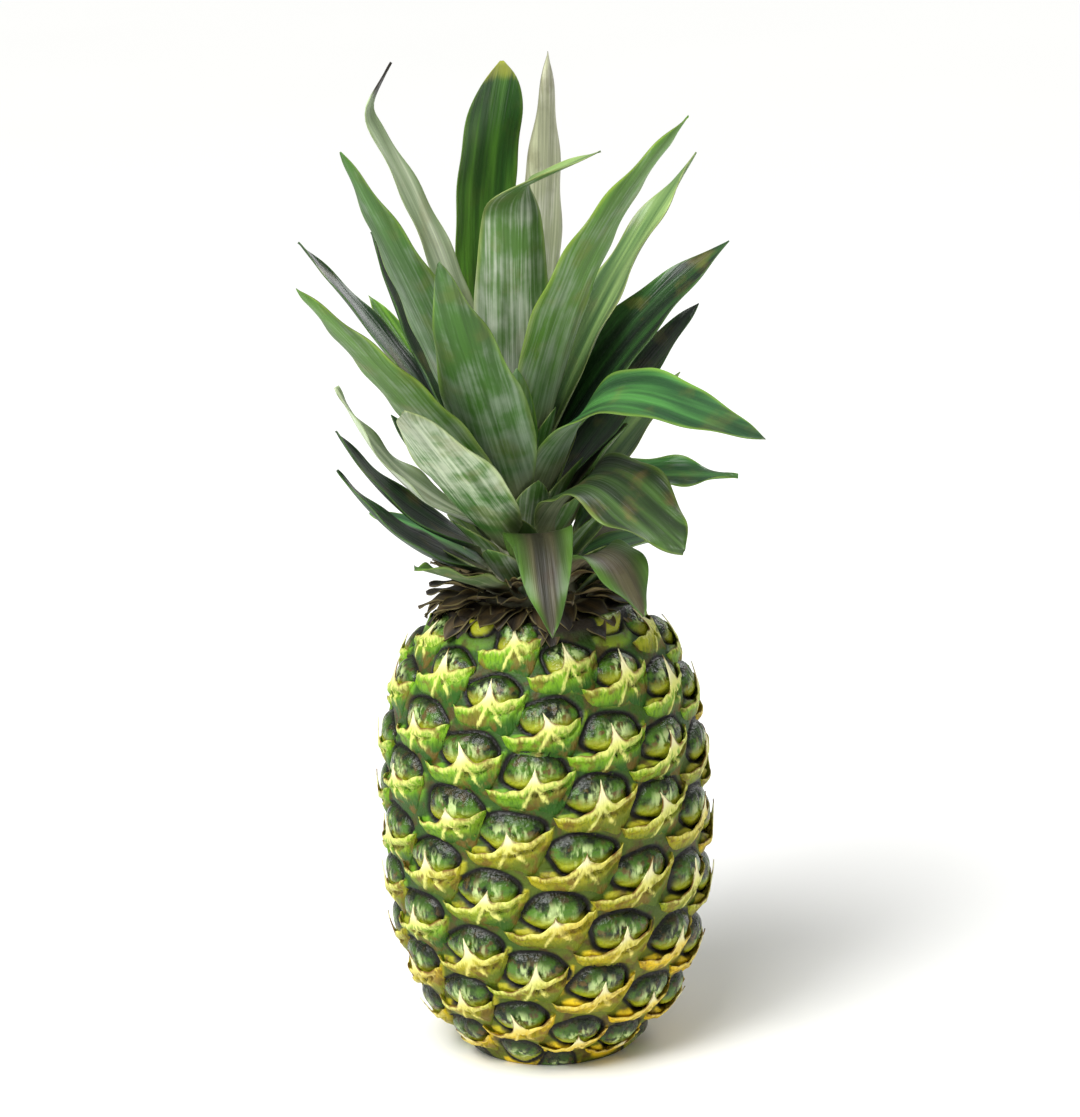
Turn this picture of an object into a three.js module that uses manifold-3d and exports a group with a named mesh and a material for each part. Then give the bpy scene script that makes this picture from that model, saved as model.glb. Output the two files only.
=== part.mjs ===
// A picked pineapple with its crown, standing on its cut base. Millimetres, +Z up, origin at the centre of
// the cut end of the stalk. The front of the fruit faces -Y.
import * as THREE from 'three';
import Module from 'manifold-3d';

const wasm = await Module();
wasm.setup();
const { Manifold, Mesh: SolidMesh } = wasm;

// The fruit body, measured over the tops of the eyes.
const FRUIT_RADIUS = 60;
const FRUIT_HEIGHT = 167;
const WIDEST_HEIGHT = 92;
const REACH_BELOW = 98;
const REACH_ABOVE = 82;
const SQUARENESS = 2.7;

// The eyes sit on one spiral: each is turned and lowered by the same step from the one before.
const WHOLE_TURN = 360;
const EYE_TURN = -139.1;
const EYE_DROP = 1.68;
const FIRST_EYE_TURN = 208.5;
const FIRST_EYE_ARC = 172;
const STEPS_ACROSS = 5;
const STEPS_DOWN = 13;
const TURNS_ACROSS = 2;
const TURNS_DOWN = 5;
const SPLITS_ACROSS = 6;
const SPLITS_DOWN = 5;
// The grid's row that lies nearer to a rim than this share of a row gives way to the rim.
const RIM_SLACK = 0.35;
const PROFILE_STEPS = 400;
const COLUMNS = STEPS_DOWN * SPLITS_ACROSS;
const COLUMN_SHIFT = STEPS_ACROSS * SPLITS_DOWN;

// One eye: a low dome above the eye's centre, a bract that rises to a lip below it, and the bract's point.
const GROOVE_DEPTH = 4.4;
const DOME = { width: 12.4, height: 8, centre: 7, rise: 4.8 };
const BRACT = { width: 17, foot: -11, lipTilt: 0.28, lipCurve: 0.008, rise: 5, edge: 2 };
const POINT = { out: 1.6, up: 5.5 };
// Arc lengths over which the relief fades out at the rims, and within which an eye has no point.
const FADE = { bottom: 8, top: 6 };
const PLAIN = { bottom: 14, top: 12 };

// The hollow under the fruit and the cut end of the stalk that fills it.
const HOLLOW = { mouth: 18, ceiling: 14.5, depth: 8 };
const STALK = { radius: 14, bevel: 1 };
const CLEARANCE = 0.3;

// The crown's stem leans slightly to -X. Radii are at its foot and at its top.
const STEM = {
  foot: FRUIT_HEIGHT + CLEARANCE, levels: [190, 212], top: 236, footRadius: 17, topRadius: 5, bevel: 2,
  sides: 24,
};
const LEAN_START = -2;
const LEAN_PER_MM = -0.09;

// Blades: mid thickness at the root and at the edge, and the share of the full width at the root.
const ROOT_THICKNESS = 2;
const EDGE_THICKNESS = 0.8;
const NECK_SHARE = 0.36;
const WIDEST_AT = 0.4;
const CUP_LOSS = 0.35;
const BLADE_END = 0.985;
const LINE_STEPS = 120;
const ACROSS = [-1, -0.5, 0, 0.5, 1];
const ACROSS_SMALL = [-1, 0, 1];

const DEGREE = Math.PI / 180;

// name, azimuth, root height, length, width, first and last rise of the blade, then what bends it:
// the middle and span of the bend, roll, cupping and bluntness of the tip. A kink near the tip adds to the
// rise, and its swing turns the azimuth.
const LEAVES = [
  { name: 'leaf_short_left', azimuth: -130, root: 174, length: 50, width: 26, rise: [24, 22], blunt: 3 },
  { name: 'leaf_droop_right', azimuth: -51, root: 175, length: 59, width: 30, rise: [43, -51], span: 0.6,
    cup: 25, blunt: 3.2 },
  { name: 'leaf_low_left', azimuth: -157, root: 179, length: 74, width: 26, rise: [23, 56], roll: -15 },
  { name: 'leaf_droop_front', azimuth: -84, root: 181, length: 78, width: 26, rise: [49, -48], bend: 0.42,
    span: 0.5, cup: 18, blunt: 2.8 },
  { name: 'leaf_dark_left', azimuth: -165, root: 186, length: 75, width: 28, rise: [28, 59], roll: -15 },
  { name: 'leaf_side_right', azimuth: -5, root: 186, length: 74, width: 26, rise: [58, -4], bend: 0.42,
    span: 0.7, cup: 28, roll: 25 },
  { name: 'leaf_flap_right', azimuth: -47, root: 191, length: 85, width: 36, rise: [63, -27], bend: 0.38,
    span: 0.5, cup: 20, blunt: 5, roll: 15 },
  { name: 'leaf_wavy_left', azimuth: -114, root: 190, length: 108, width: 30, rise: [41, 38], blunt: 5 },
  { name: 'leaf_stub_right', azimuth: 12, root: 197, length: 42, width: 20, rise: [58, 42], cup: 40,
    blunt: 4 },
  { name: 'leaf_pale_left', azimuth: -157, root: 195, length: 84, width: 26, rise: [29, 65], roll: -20 },
  { name: 'leaf_dim_left', azimuth: 162, root: 197, length: 52, width: 26, rise: [34, 58], cup: 38 },
  { name: 'leaf_green_left', azimuth: -131, root: 201, length: 141, width: 34, rise: [48, 43] },
  { name: 'leaf_thin_left', azimuth: 162, root: 203, length: 117, width: 26, rise: [59, 48], cup: 42,
    blunt: 2 },
  { name: 'leaf_arch_right', azimuth: -50, root: 207, length: 140, width: 30, rise: [60.5, -6], bend: 0.37,
    span: 0.65, cup: 26, blunt: 2.6, roll: 30 },
  { name: 'leaf_big_front_left', azimuth: -105, root: 205, length: 133, width: 36, rise: [52, 52],
    bend: 0.3, span: 0.7, cup: 34 },
  { name: 'leaf_short_dark_right', azimuth: 26, root: 204, length: 90, width: 28, rise: [49, 41], roll: 15 },
  { name: 'leaf_inner_front', azimuth: -86, root: 216, length: 44, width: 16, rise: [70, 74], cup: 38,
    blunt: 3 },
  { name: 'leaf_broad_right', azimuth: 15, root: 214, length: 108, width: 36, rise: [59, 35], roll: 20 },
  { name: 'leaf_edge_left', azimuth: 161, root: 212, length: 99, width: 24, rise: [57, 73], cup: 40,
    blunt: 2 },
  { name: 'leaf_tall_left', azimuth: -133, root: 214, length: 148, width: 34, rise: [64, 58] },
  { name: 'leaf_pale_right', azimuth: 30, root: 219, length: 126, width: 30, rise: [63, 47], cup: 35,
    blunt: 2.1 },
  { name: 'leaf_tall_right', azimuth: -40, root: 222, length: 151, width: 36, rise: [74, 45], cup: 34 },
  { name: 'leaf_kinked_left', azimuth: -162, root: 222, length: 154, width: 24, rise: [80, 61],
    blunt: 1.9, roll: -45, kink: 62 },
  { name: 'leaf_front_centre', azimuth: -80, root: 227, length: 128, width: 30, rise: [86, 77], blunt: 2.8,
    kinkAt: 0.72, kinkSpan: 0.16, kink: -55, swing: 78 },
  { name: 'leaf_dark_back', azimuth: 88, root: 223, length: 64, width: 18, rise: [62, 82], cup: 36 },
  { name: 'leaf_crest_back', azimuth: 118, root: 230, length: 139, width: 24, rise: [74, 116], blunt: 14 },
  { name: 'leaf_crest_right', azimuth: 26, root: 235, length: 131, width: 32, rise: [80, 88],
    blunt: 2, roll: -70 },
  { name: 'leaf_back_low_1', azimuth: 100, root: 174, length: 46, width: 26, rise: [24, 4], blunt: 3 },
  { name: 'leaf_back_low_2', azimuth: 48, root: 175, length: 42, width: 24, rise: [24, 0], blunt: 3 },
  { name: 'leaf_back_low_3', azimuth: 150, root: 176, length: 54, width: 26, rise: [26, 10], blunt: 3 },
  { name: 'leaf_back_low_4', azimuth: 12, root: 177, length: 44, width: 24, rise: [26, -6], blunt: 3 },
  { name: 'leaf_back_droop', azimuth: 74, root: 180, length: 88, width: 30, rise: [40, -44], span: 0.6,
    cup: 26, blunt: 2.6 },
  { name: 'leaf_back_1', azimuth: 120, root: 184, length: 88, width: 30, rise: [34, 24] },
  { name: 'leaf_back_2', azimuth: 46, root: 189, length: 86, width: 30, rise: [38, 28] },
  { name: 'leaf_back_3', azimuth: 98, root: 191, length: 104, width: 32, rise: [42, 24] },
  { name: 'leaf_back_4', azimuth: 134, root: 200, length: 96, width: 30, rise: [50, 44] },
  { name: 'leaf_back_5', azimuth: 70, root: 197, length: 104, width: 32, rise: [48, 36] },
  { name: 'leaf_back_6', azimuth: 100, root: 208, length: 112, width: 32, rise: [58, 46] },
  { name: 'leaf_back_7', azimuth: 95, root: 216, length: 96, width: 30, rise: [66, 57] },
];

const BLADE_DEFAULTS = {
  bend: 0.5, span: 1, roll: 0, cup: 31, blunt: 2.3, kink: 0, swing: 0, kinkAt: 0.86, kinkSpan: 0.08,
  rings: 10, across: ACROSS,
};
const HEART_RINGS = 6;

// The small upright leaves at the heart of the crown, which grow out of the stem's top.
const HEART_LEAVES = [
  { azimuth: -20, root: 231, length: 34, width: 11, rise: [80, 86], cup: 40, blunt: 2.2 },
  { azimuth: 120, root: 232, length: 40, width: 12, rise: [82, 88], cup: 40, blunt: 2.2 },
  { azimuth: 250, root: 233, length: 30, width: 10, rise: [84, 92], cup: 40, blunt: 2.2 },
];
const HEART_ROOT_RADIUS = 1.5;

// The dry bracts round the neck, which grow out of one low ring. Every second one stands higher.
const NECK = { foot: FRUIT_HEIGHT + CLEARANCE, height: 3, inner: 18.2, outer: 24, taper: 1.5, sides: 36 };
const NECK_BRACTS = {
  count: 15, width: 13, length: 19, extra: 4, rootUp: 1.6, rootRadius: 19.6, low: [8, -14], high: [24, 16],
  cup: 22, blunt: 2.4, rings: 5,
};

// How far a cutting solid passes the faces that it cuts through.
const OVERRUN = 1;

const COLOURS = { rind: 0x8f8c3e, cutStalk: 0xb39a6c, stem: 0xb9c08c, dryBract: 0x6e5a3c, leaf: 0x6f8a5a };

function smoothStep(value) {
  const x = Math.min(Math.max(value, 0), 1);
  return x * x * (3 - 2 * x);
}

// Radius of the fruit over its eyes at a height.
function profileRadius(z) {
  const reach = z < WIDEST_HEIGHT ? REACH_BELOW : REACH_ABOVE;
  const share = Math.min(Math.abs(z - WIDEST_HEIGHT) / reach, 1);
  return FRUIT_RADIUS * (1 - share ** SQUARENESS) ** (1 / SQUARENESS);
}

// The profile as points at equal steps of height, with the arc length from the bottom.
function measureProfile() {
  const points = [{ z: 0, radius: profileRadius(0), arc: 0 }];
  for (let i = 1; i <= PROFILE_STEPS; i += 1) {
    const z = (FRUIT_HEIGHT * i) / PROFILE_STEPS;
    const radius = profileRadius(z);
    const last = points[i - 1];
    points.push({ z, radius, arc: last.arc + Math.hypot(z - last.z, radius - last.radius) });
  }
  return points;
}

const PROFILE = measureProfile();
const ARC_LENGTH = PROFILE[PROFILE.length - 1].arc;

// Point of the profile at an arc length, with the outward normal as (radial, up).
function profileAt(arc) {
  const clamped = Math.min(Math.max(arc, 0), ARC_LENGTH);
  let i = PROFILE.findIndex((point) => point.arc >= clamped);
  i = Math.max(i, 1);
  const a = PROFILE[i - 1];
  const b = PROFILE[i];
  const share = (clamped - a.arc) / (b.arc - a.arc);
  const run = Math.hypot(b.z - a.z, b.radius - a.radius);
  return {
    z: a.z + share * (b.z - a.z),
    radius: a.radius + share * (b.radius - a.radius),
    normal: [(b.z - a.z) / run, (a.radius - b.radius) / run],
  };
}

// Height of one eye's relief above the groove, for x across and y up from the eye's centre.
function eyeRelief(x, y) {
  const round = 1 - (x / DOME.width) ** 2 - ((y - DOME.centre) / DOME.height) ** 2;
  const dome = round > 0 ? DOME.rise * Math.sqrt(round) : 0;
  const lip = BRACT.lipTilt * x + BRACT.lipCurve * x * x;
  const side = Math.max(1 - (x / BRACT.width) ** 2, 0);
  const slope = Math.min(Math.max((y - BRACT.foot) / (lip - BRACT.foot), 0), 1);
  const drop = smoothStep((lip + BRACT.edge - y) / BRACT.edge);
  return Math.max(dome, BRACT.rise * slope * drop * Math.sqrt(side));
}

// The same angle, between half a turn back and half a turn on.
function nearTurn(angle) {
  return angle - WHOLE_TURN * Math.round(angle / WHOLE_TURN);
}

// Relief at a turn (degrees) and an arc length: the highest of the eyes round that place.
function reliefAt(turn, arc) {
  const stretch = profileAt(arc).radius / FRUIT_RADIUS;
  const nearest = Math.round((FIRST_EYE_ARC - arc) / EYE_DROP);
  const reach = STEPS_DOWN + STEPS_ACROSS;
  let height = 0;
  for (let n = nearest - reach; n <= nearest + reach; n += 1) {
    const offset = nearTurn(turn - FIRST_EYE_TURN - n * EYE_TURN);
    const x = offset * DEGREE * FRUIT_RADIUS;
    const y = arc - (FIRST_EYE_ARC - n * EYE_DROP);
    height = Math.max(height, eyeRelief(x, y));
  }
  return height * Math.sqrt(stretch);
}

// The grid follows the spirals of the eyes: column a and row b in fractions of an eye's spacing.
function gridPlace(a, b) {
  const across = a / SPLITS_ACROSS;
  const down = b / SPLITS_DOWN;
  const steps = STEPS_ACROSS * across + STEPS_DOWN * down;
  const turnAcross = STEPS_ACROSS * EYE_TURN + TURNS_ACROSS * WHOLE_TURN;
  const turnDown = STEPS_DOWN * EYE_TURN + TURNS_DOWN * WHOLE_TURN;
  return {
    turn: FIRST_EYE_TURN + across * turnAcross + down * turnDown,
    arc: FIRST_EYE_ARC - steps * EYE_DROP,
  };
}

// Row, as a real number, at which column a reaches an arc length.
function rowAtArc(a, arc) {
  const acrossArc = FIRST_EYE_ARC - (STEPS_ACROSS * a * EYE_DROP) / SPLITS_ACROSS;
  return ((acrossArc - arc) * SPLITS_DOWN) / (STEPS_DOWN * EYE_DROP);
}

// Point of the fruit's skin. The bract's point stands on the eye's centre.
function skinPoint(turn, arc, isCentre) {
  const place = profileAt(arc);
  const fade = smoothStep(arc / FADE.bottom) * smoothStep((ARC_LENGTH - arc) / FADE.top);
  const out = (reliefAt(turn, arc) - GROOVE_DEPTH) * fade + (isCentre ? POINT.out : 0);
  const up = isCentre ? POINT.up : 0;
  const radius = place.radius + out * place.normal[0] - up * place.normal[1];
  const z = place.z + out * place.normal[1] + up * place.normal[0];
  return [radius * Math.sin(turn * DEGREE), -radius * Math.cos(turn * DEGREE), z];
}

// One column of the skin: its first and last points lie on the rims, the rest on whole rows.
function skinColumn(a, positions) {
  const topRow = rowAtArc(a, ARC_LENGTH);
  const bottomRow = rowAtArc(a, 0);
  const first = Math.ceil(topRow + RIM_SLACK) - 1;
  const last = Math.floor(bottomRow - RIM_SLACK) + 1;
  const indices = [];
  for (let b = first; b <= last; b += 1) {
    const row = b === first ? topRow : b === last ? bottomRow : b;
    const { turn, arc } = gridPlace(a, row);
    const onRim = b === first || b === last;
    const isCentre = !onRim && a % SPLITS_ACROSS === 0 && b % SPLITS_DOWN === 0;
    const keepsPoint = isCentre && arc > PLAIN.bottom && arc < ARC_LENGTH - PLAIN.top;
    indices.push(positions.length);
    positions.push(skinPoint(turn, arc, keepsPoint));
  }
  return { first, last, at: (b) => indices[b - first] };
}

function distance(p, q) {
  return Math.hypot(p[0] - q[0], p[1] - q[1], p[2] - q[2]);
}

// Two triangles for a quad, split along its shorter diagonal.
function pushQuad(triangles, positions, a, b, c, d) {
  if (distance(positions[a], positions[c]) <= distance(positions[b], positions[d])) {
    triangles.push([a, b, c], [a, c, d]);
  } else {
    triangles.push([a, b, d], [b, c, d]);
  }
}

// Joins column left to column right, row by row, with one triangle where a rim gains or loses a row.
function joinColumns(triangles, positions, left, right) {
  const from = Math.max(left.first, right.first);
  const to = Math.min(left.last, right.last);
  if (right.first < left.first) {
    triangles.push([left.at(left.first), right.at(left.first), right.at(right.first)]);
  }
  for (let b = from; b < to; b += 1) {
    pushQuad(triangles, positions, left.at(b), left.at(b + 1), right.at(b + 1), right.at(b));
  }
  if (right.last < left.last) {
    triangles.push([left.at(left.last), right.at(right.last), left.at(right.last)]);
  }
}

// Ring of points at a radius and height, one for each point of another ring.
function ringLike(positions, ring, radius, z) {
  return ring.map((index) => {
    const [x, y] = positions[index];
    const share = radius / Math.hypot(x, y);
    positions.push([x * share, y * share, z]);
    return positions.length - 1;
  });
}

function joinRings(triangles, upper, lower) {
  upper.forEach((a, i) => {
    const next = (i + 1) % upper.length;
    triangles.push([a, lower[i], lower[next]], [a, lower[next], upper[next]]);
  });
}

function fanCap(triangles, positions, ring, z, facesUp) {
  const centre = positions.length;
  positions.push([0, 0, z]);
  ring.forEach((a, i) => {
    const b = ring[(i + 1) % ring.length];
    triangles.push(facesUp ? [centre, a, b] : [centre, b, a]);
  });
}

// The whole fruit as one closed skin, with the hollow under it.
function fruitGeometry() {
  const positions = [];
  const triangles = [];
  const columns = [];
  for (let a = 0; a < COLUMNS; a += 1) columns.push(skinColumn(a, positions));
  const start = columns[0];
  columns.push({
    first: start.first - COLUMN_SHIFT,
    last: start.last - COLUMN_SHIFT,
    at: (b) => start.at(b + COLUMN_SHIFT),
  });
  for (let a = 0; a < COLUMNS; a += 1) joinColumns(triangles, positions, columns[a], columns[a + 1]);
  const real = columns.slice(0, COLUMNS);
  const top = real.map((column) => column.at(column.first));
  const bottom = real.map((column) => column.at(column.last));
  fanCap(triangles, positions, top, FRUIT_HEIGHT, true);
  const mouth = ringLike(positions, bottom, HOLLOW.mouth, 0);
  const ceiling = ringLike(positions, mouth, HOLLOW.ceiling, HOLLOW.depth);
  joinRings(triangles, bottom, mouth);
  joinRings(triangles, mouth, ceiling);
  fanCap(triangles, positions, ceiling, HOLLOW.depth, false);
  return toGeometry(positions, triangles);
}

function toGeometry(positions, triangles) {
  const geometry = new THREE.BufferGeometry();
  geometry.setAttribute('position', new THREE.Float32BufferAttribute(positions.flat(), 3));
  geometry.setIndex(triangles.flat());
  geometry.computeVertexNormals();
  return geometry;
}

function stemRadius(z) {
  const share = (z - STEM.foot) / (STEM.top - STEM.foot);
  return STEM.footRadius + share * (STEM.topRadius - STEM.footRadius);
}

function stemCentre(z) {
  return LEAN_START + LEAN_PER_MM * (z - STEM.foot);
}

// How far a blade has folded at its kink, from 0 before it to 1 after it.
function kinkShare(leaf, t) {
  return smoothStep((t - leaf.kinkAt) / leaf.kinkSpan + 0.5);
}

function azimuthAt(leaf, t) {
  return (leaf.azimuth + leaf.swing * kinkShare(leaf, t)) * DEGREE;
}

function levelDirection(azimuth) {
  return new THREE.Vector3(Math.cos(azimuth), Math.sin(azimuth), 0);
}

// Rise of a blade (degrees above level) at a share t of its length.
function riseAt(leaf, t) {
  const [start, end] = leaf.rise;
  const turned = smoothStep((t - leaf.bend) / leaf.span + 0.5);
  return start + (end - start) * turned + leaf.kink * kinkShare(leaf, t);
}

// The middle line of a blade: points at equal steps, added up from its directions.
function bladeLine(leaf, radius) {
  const point = levelDirection(leaf.azimuth * DEGREE).multiplyScalar(radius);
  point.x += stemCentre(leaf.root);
  point.z = leaf.root;
  const line = [];
  for (let i = 0; i <= LINE_STEPS; i += 1) {
    const t = i / LINE_STEPS;
    const rise = riseAt(leaf, t) * DEGREE;
    const along = levelDirection(azimuthAt(leaf, t)).multiplyScalar(Math.cos(rise));
    along.z = Math.sin(rise);
    line.push({ point: point.clone(), along });
    point.addScaledVector(along, leaf.length / LINE_STEPS);
  }
  return line;
}

function bladeWidth(leaf, t) {
  const opening = Math.sin((Math.min(t / WIDEST_AT, 1) * Math.PI) / 2);
  return leaf.width * (NECK_SHARE + (1 - NECK_SHARE) * opening) * (1 - t ** leaf.blunt);
}

// One ring of a blade: a shallow channel section, upper face first, then the lower face backwards.
function bladeRing(leaf, line, t) {
  const { point, along } = line[Math.round(t * (line.length - 1))];
  const level = levelDirection(azimuthAt(leaf, t) + Math.PI / 2);
  const side = level.applyAxisAngle(along, leaf.roll * smoothStep(t / WIDEST_AT) * DEGREE);
  const upper = new THREE.Vector3().crossVectors(along, side);
  const cup = leaf.cup * DEGREE * (1 - CUP_LOSS * t);
  const radius = bladeWidth(leaf, t) / 2 / cup;
  const middle = EDGE_THICKNESS + (ROOT_THICKNESS - EDGE_THICKNESS) * (1 - t);
  const faces = [1, -1].map((face) => leaf.across.map((u) => {
    const angle = u * cup;
    const thickness = middle + (EDGE_THICKNESS - middle) * u * u;
    const reach = radius - (face * thickness) / 2;
    return point.clone()
      .addScaledVector(side, reach * Math.sin(angle))
      .addScaledVector(upper, radius - reach * Math.cos(angle));
  }));
  return faces[0].concat(faces[1].reverse());
}

function bladeGeometry(spec, radius) {
  const leaf = { ...BLADE_DEFAULTS, ...spec };
  const line = bladeLine(leaf, radius);
  const positions = [];
  const triangles = [];
  const last = leaf.rings - 1;
  const points = leaf.across.length;
  const count = points * 2;
  for (let i = 0; i <= last; i += 1) {
    const t = (BLADE_END * i) / last;
    bladeRing(leaf, line, t).forEach((p) => positions.push([p.x, p.y, p.z]));
  }
  for (let i = 0; i < last; i += 1) {
    for (let j = 0; j < count; j += 1) pushBladeQuad(triangles, i * count, j, points);
  }
  for (let j = 0; j < points - 1; j += 1) {
    const opposite = count - 1 - j;
    pushBladeEnd(triangles, 0, j, opposite, false);
    pushBladeEnd(triangles, last * count, j, opposite, true);
  }
  return toGeometry(positions, triangles);
}

// A quad of a blade's side. The upper and the lower face are split along the same diagonal.
function pushBladeQuad(triangles, base, j, points) {
  const count = points * 2;
  const k = (j + 1) % count;
  const [a, b, c, d] = [base + j, base + k, base + count + k, base + count + j];
  if (j < points) triangles.push([a, c, b], [a, d, c]);
  else triangles.push([a, d, b], [b, d, c]);
}

function pushBladeEnd(triangles, base, j, opposite, isTip) {
  const [a, b, c, d] = [base + j, base + j + 1, base + opposite - 1, base + opposite];
  if (isTip) triangles.push([a, c, b], [a, d, c]);
  else triangles.push([a, b, c], [a, c, d]);
}

function toSolid(geometry) {
  return Manifold.ofMesh(new SolidMesh({
    numProp: 3,
    vertProperties: new Float32Array(geometry.attributes.position.array),
    triVerts: new Uint32Array(geometry.index.array),
  }));
}

function fromSolid(solid) {
  const { vertProperties, triVerts } = solid.getMesh();
  const geometry = new THREE.BufferGeometry();
  geometry.setAttribute('position', new THREE.Float32BufferAttribute(Array.from(vertProperties), 3));
  geometry.setIndex(Array.from(triVerts));
  geometry.computeVertexNormals();
  return geometry;
}

// Points of a level ring about a leaning centre.
function levelRing(radius, z, sides, centre) {
  return Array.from({ length: sides }, (_, i) => {
    const turn = (2 * Math.PI * i) / sides;
    return [centre + radius * Math.cos(turn), radius * Math.sin(turn), z];
  });
}

// Closed solid through level rings given from the bottom up.
function stackRings(rings) {
  const sides = rings[0].length;
  const positions = rings.flat();
  const triangles = [];
  for (let level = 0; level < rings.length - 1; level += 1) {
    for (let i = 0; i < sides; i += 1) {
      const next = (i + 1) % sides;
      const low = level * sides;
      const high = low + sides;
      triangles.push([low + i, low + next, high + next], [low + i, high + next, high + i]);
    }
  }
  const topStart = (rings.length - 1) * sides;
  for (let i = 1; i < sides - 1; i += 1) {
    triangles.push([0, i + 1, i], [topStart, topStart + i, topStart + i + 1]);
  }
  return toGeometry(positions, triangles);
}

function stemGeometry() {
  const heights = [STEM.foot, ...STEM.levels, STEM.top - STEM.bevel, STEM.top];
  const rings = heights.map((z, i) => {
    const radius = i === heights.length - 1 ? STEM.topRadius - STEM.bevel : stemRadius(z);
    return levelRing(radius, z, STEM.sides, stemCentre(z));
  });
  const hearts = HEART_LEAVES.map((leaf) => {
    const small = { ...leaf, rings: HEART_RINGS, across: ACROSS_SMALL };
    return bladeGeometry(small, HEART_ROOT_RADIUS);
  });
  return fromSolid(Manifold.union([stackRings(rings), ...hearts].map(toSolid)));
}

// The neck's ring, a square section turned round the stem, with its bracts fused in.
function neckGeometry() {
  const centre = stemCentre(NECK.foot);
  const bottom = NECK.foot;
  const top = NECK.foot + NECK.height;
  const outerWall = stackRings([
    levelRing(NECK.outer, bottom, NECK.sides, centre),
    levelRing(NECK.outer - NECK.taper, top, NECK.sides, centre),
  ]);
  const bore = stackRings([
    levelRing(NECK.inner, bottom - OVERRUN, NECK.sides, centre),
    levelRing(NECK.inner, top + OVERRUN, NECK.sides, centre),
  ]);
  const ring = toSolid(outerWall).subtract(toSolid(bore));
  const bracts = Array.from({ length: NECK_BRACTS.count }, (_, i) => neckBract(i));
  return fromSolid(Manifold.union([ring, ...bracts.map(toSolid)]));
}

function neckBract(i) {
  const low = i % 2 === 0;
  return bladeGeometry({
    azimuth: (i * WHOLE_TURN) / NECK_BRACTS.count,
    root: NECK.foot + NECK_BRACTS.rootUp,
    length: NECK_BRACTS.length + (low ? 0 : NECK_BRACTS.extra),
    width: NECK_BRACTS.width,
    rise: low ? NECK_BRACTS.low : NECK_BRACTS.high,
    cup: NECK_BRACTS.cup,
    blunt: NECK_BRACTS.blunt,
    rings: NECK_BRACTS.rings,
    across: ACROSS_SMALL,
  }, NECK_BRACTS.rootRadius);
}

function stalkGeometry() {
  const top = HOLLOW.depth - CLEARANCE;
  return stackRings([
    levelRing(STALK.radius, 0, STEM.sides, 0),
    levelRing(STALK.radius, top - STALK.bevel, STEM.sides, 0),
    levelRing(STALK.radius - STALK.bevel, top, STEM.sides, 0),
  ]);
}

function piece(name, geometry, colour, roughness) {
  const material = new THREE.MeshStandardMaterial({ color: colour, roughness });
  const mesh = new THREE.Mesh(geometry, material);
  mesh.name = name;
  return mesh;
}

const pineapple = new THREE.Group();
pineapple.name = 'pineapple';
pineapple.add(piece('fruit', fruitGeometry(), COLOURS.rind, 0.55));
pineapple.add(piece('stalk_end', stalkGeometry(), COLOURS.cutStalk, 0.9));
pineapple.add(piece('crown_stem', stemGeometry(), COLOURS.stem, 0.7));
pineapple.add(piece('neck_bracts', neckGeometry(), COLOURS.dryBract, 0.85));
LEAVES.forEach((leaf) => {
  const radius = stemRadius(leaf.root) + CLEARANCE + ROOT_THICKNESS / 2;
  pineapple.add(piece(leaf.name, bladeGeometry(leaf, radius), COLOURS.leaf, 0.6));
});

export default pineapple;
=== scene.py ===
"""Visual model of a picked pineapple with its crown, dressed over its solid parts."""
import logging
from dataclasses import dataclass
from enum import Enum

import bpy
import numpy as np
from mathutils import Matrix, Vector


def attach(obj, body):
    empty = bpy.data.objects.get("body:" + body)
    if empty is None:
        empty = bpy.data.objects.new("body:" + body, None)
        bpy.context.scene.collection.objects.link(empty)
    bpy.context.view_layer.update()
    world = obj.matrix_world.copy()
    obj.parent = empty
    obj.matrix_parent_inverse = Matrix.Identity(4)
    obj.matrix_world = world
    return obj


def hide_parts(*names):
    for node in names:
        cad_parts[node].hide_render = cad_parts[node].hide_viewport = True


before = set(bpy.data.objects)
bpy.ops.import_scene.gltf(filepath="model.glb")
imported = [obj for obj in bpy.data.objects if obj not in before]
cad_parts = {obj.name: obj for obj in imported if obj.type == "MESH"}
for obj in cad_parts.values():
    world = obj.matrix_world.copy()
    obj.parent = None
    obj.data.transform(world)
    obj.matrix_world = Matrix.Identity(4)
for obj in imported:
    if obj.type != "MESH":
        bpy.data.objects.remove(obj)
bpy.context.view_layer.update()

MM = 0.001
BODY = "root"
WHOLE_WAVE = 6.28
Array = np.ndarray
log = logging.getLogger("pineapple")


# Numbers and meshes


def smooth_step(x: Array) -> Array:
    """Ease from 0 to 1: 3x^2 - 2x^3 with x held between 0 and 1."""
    x = np.clip(x, 0.0, 1.0)
    return x * x * (3.0 - 2.0 * x)


def bell(x: Array, middle: float, width: float) -> Array:
    """A smooth bump of height 1 about a middle: e^-((x - middle) / width)^2."""
    return np.exp(-(((x - middle) / width) ** 2))


def linear_colour(code: str) -> tuple[float, float, float, float]:
    """Turn an sRGB hex code to a linear colour.

    Args:
        code: Six hex digits after a hash sign.

    Returns:
        Red, green, blue and an alpha of 1.
    """
    shares = [int(code[i : i + 2], 16) / 255 for i in (1, 3, 5)]
    red, green, blue = [s / 12.92 if s <= 0.04045 else ((s + 0.055) / 1.055) ** 2.4 for s in shares]
    return red, green, blue, 1.0


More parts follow.
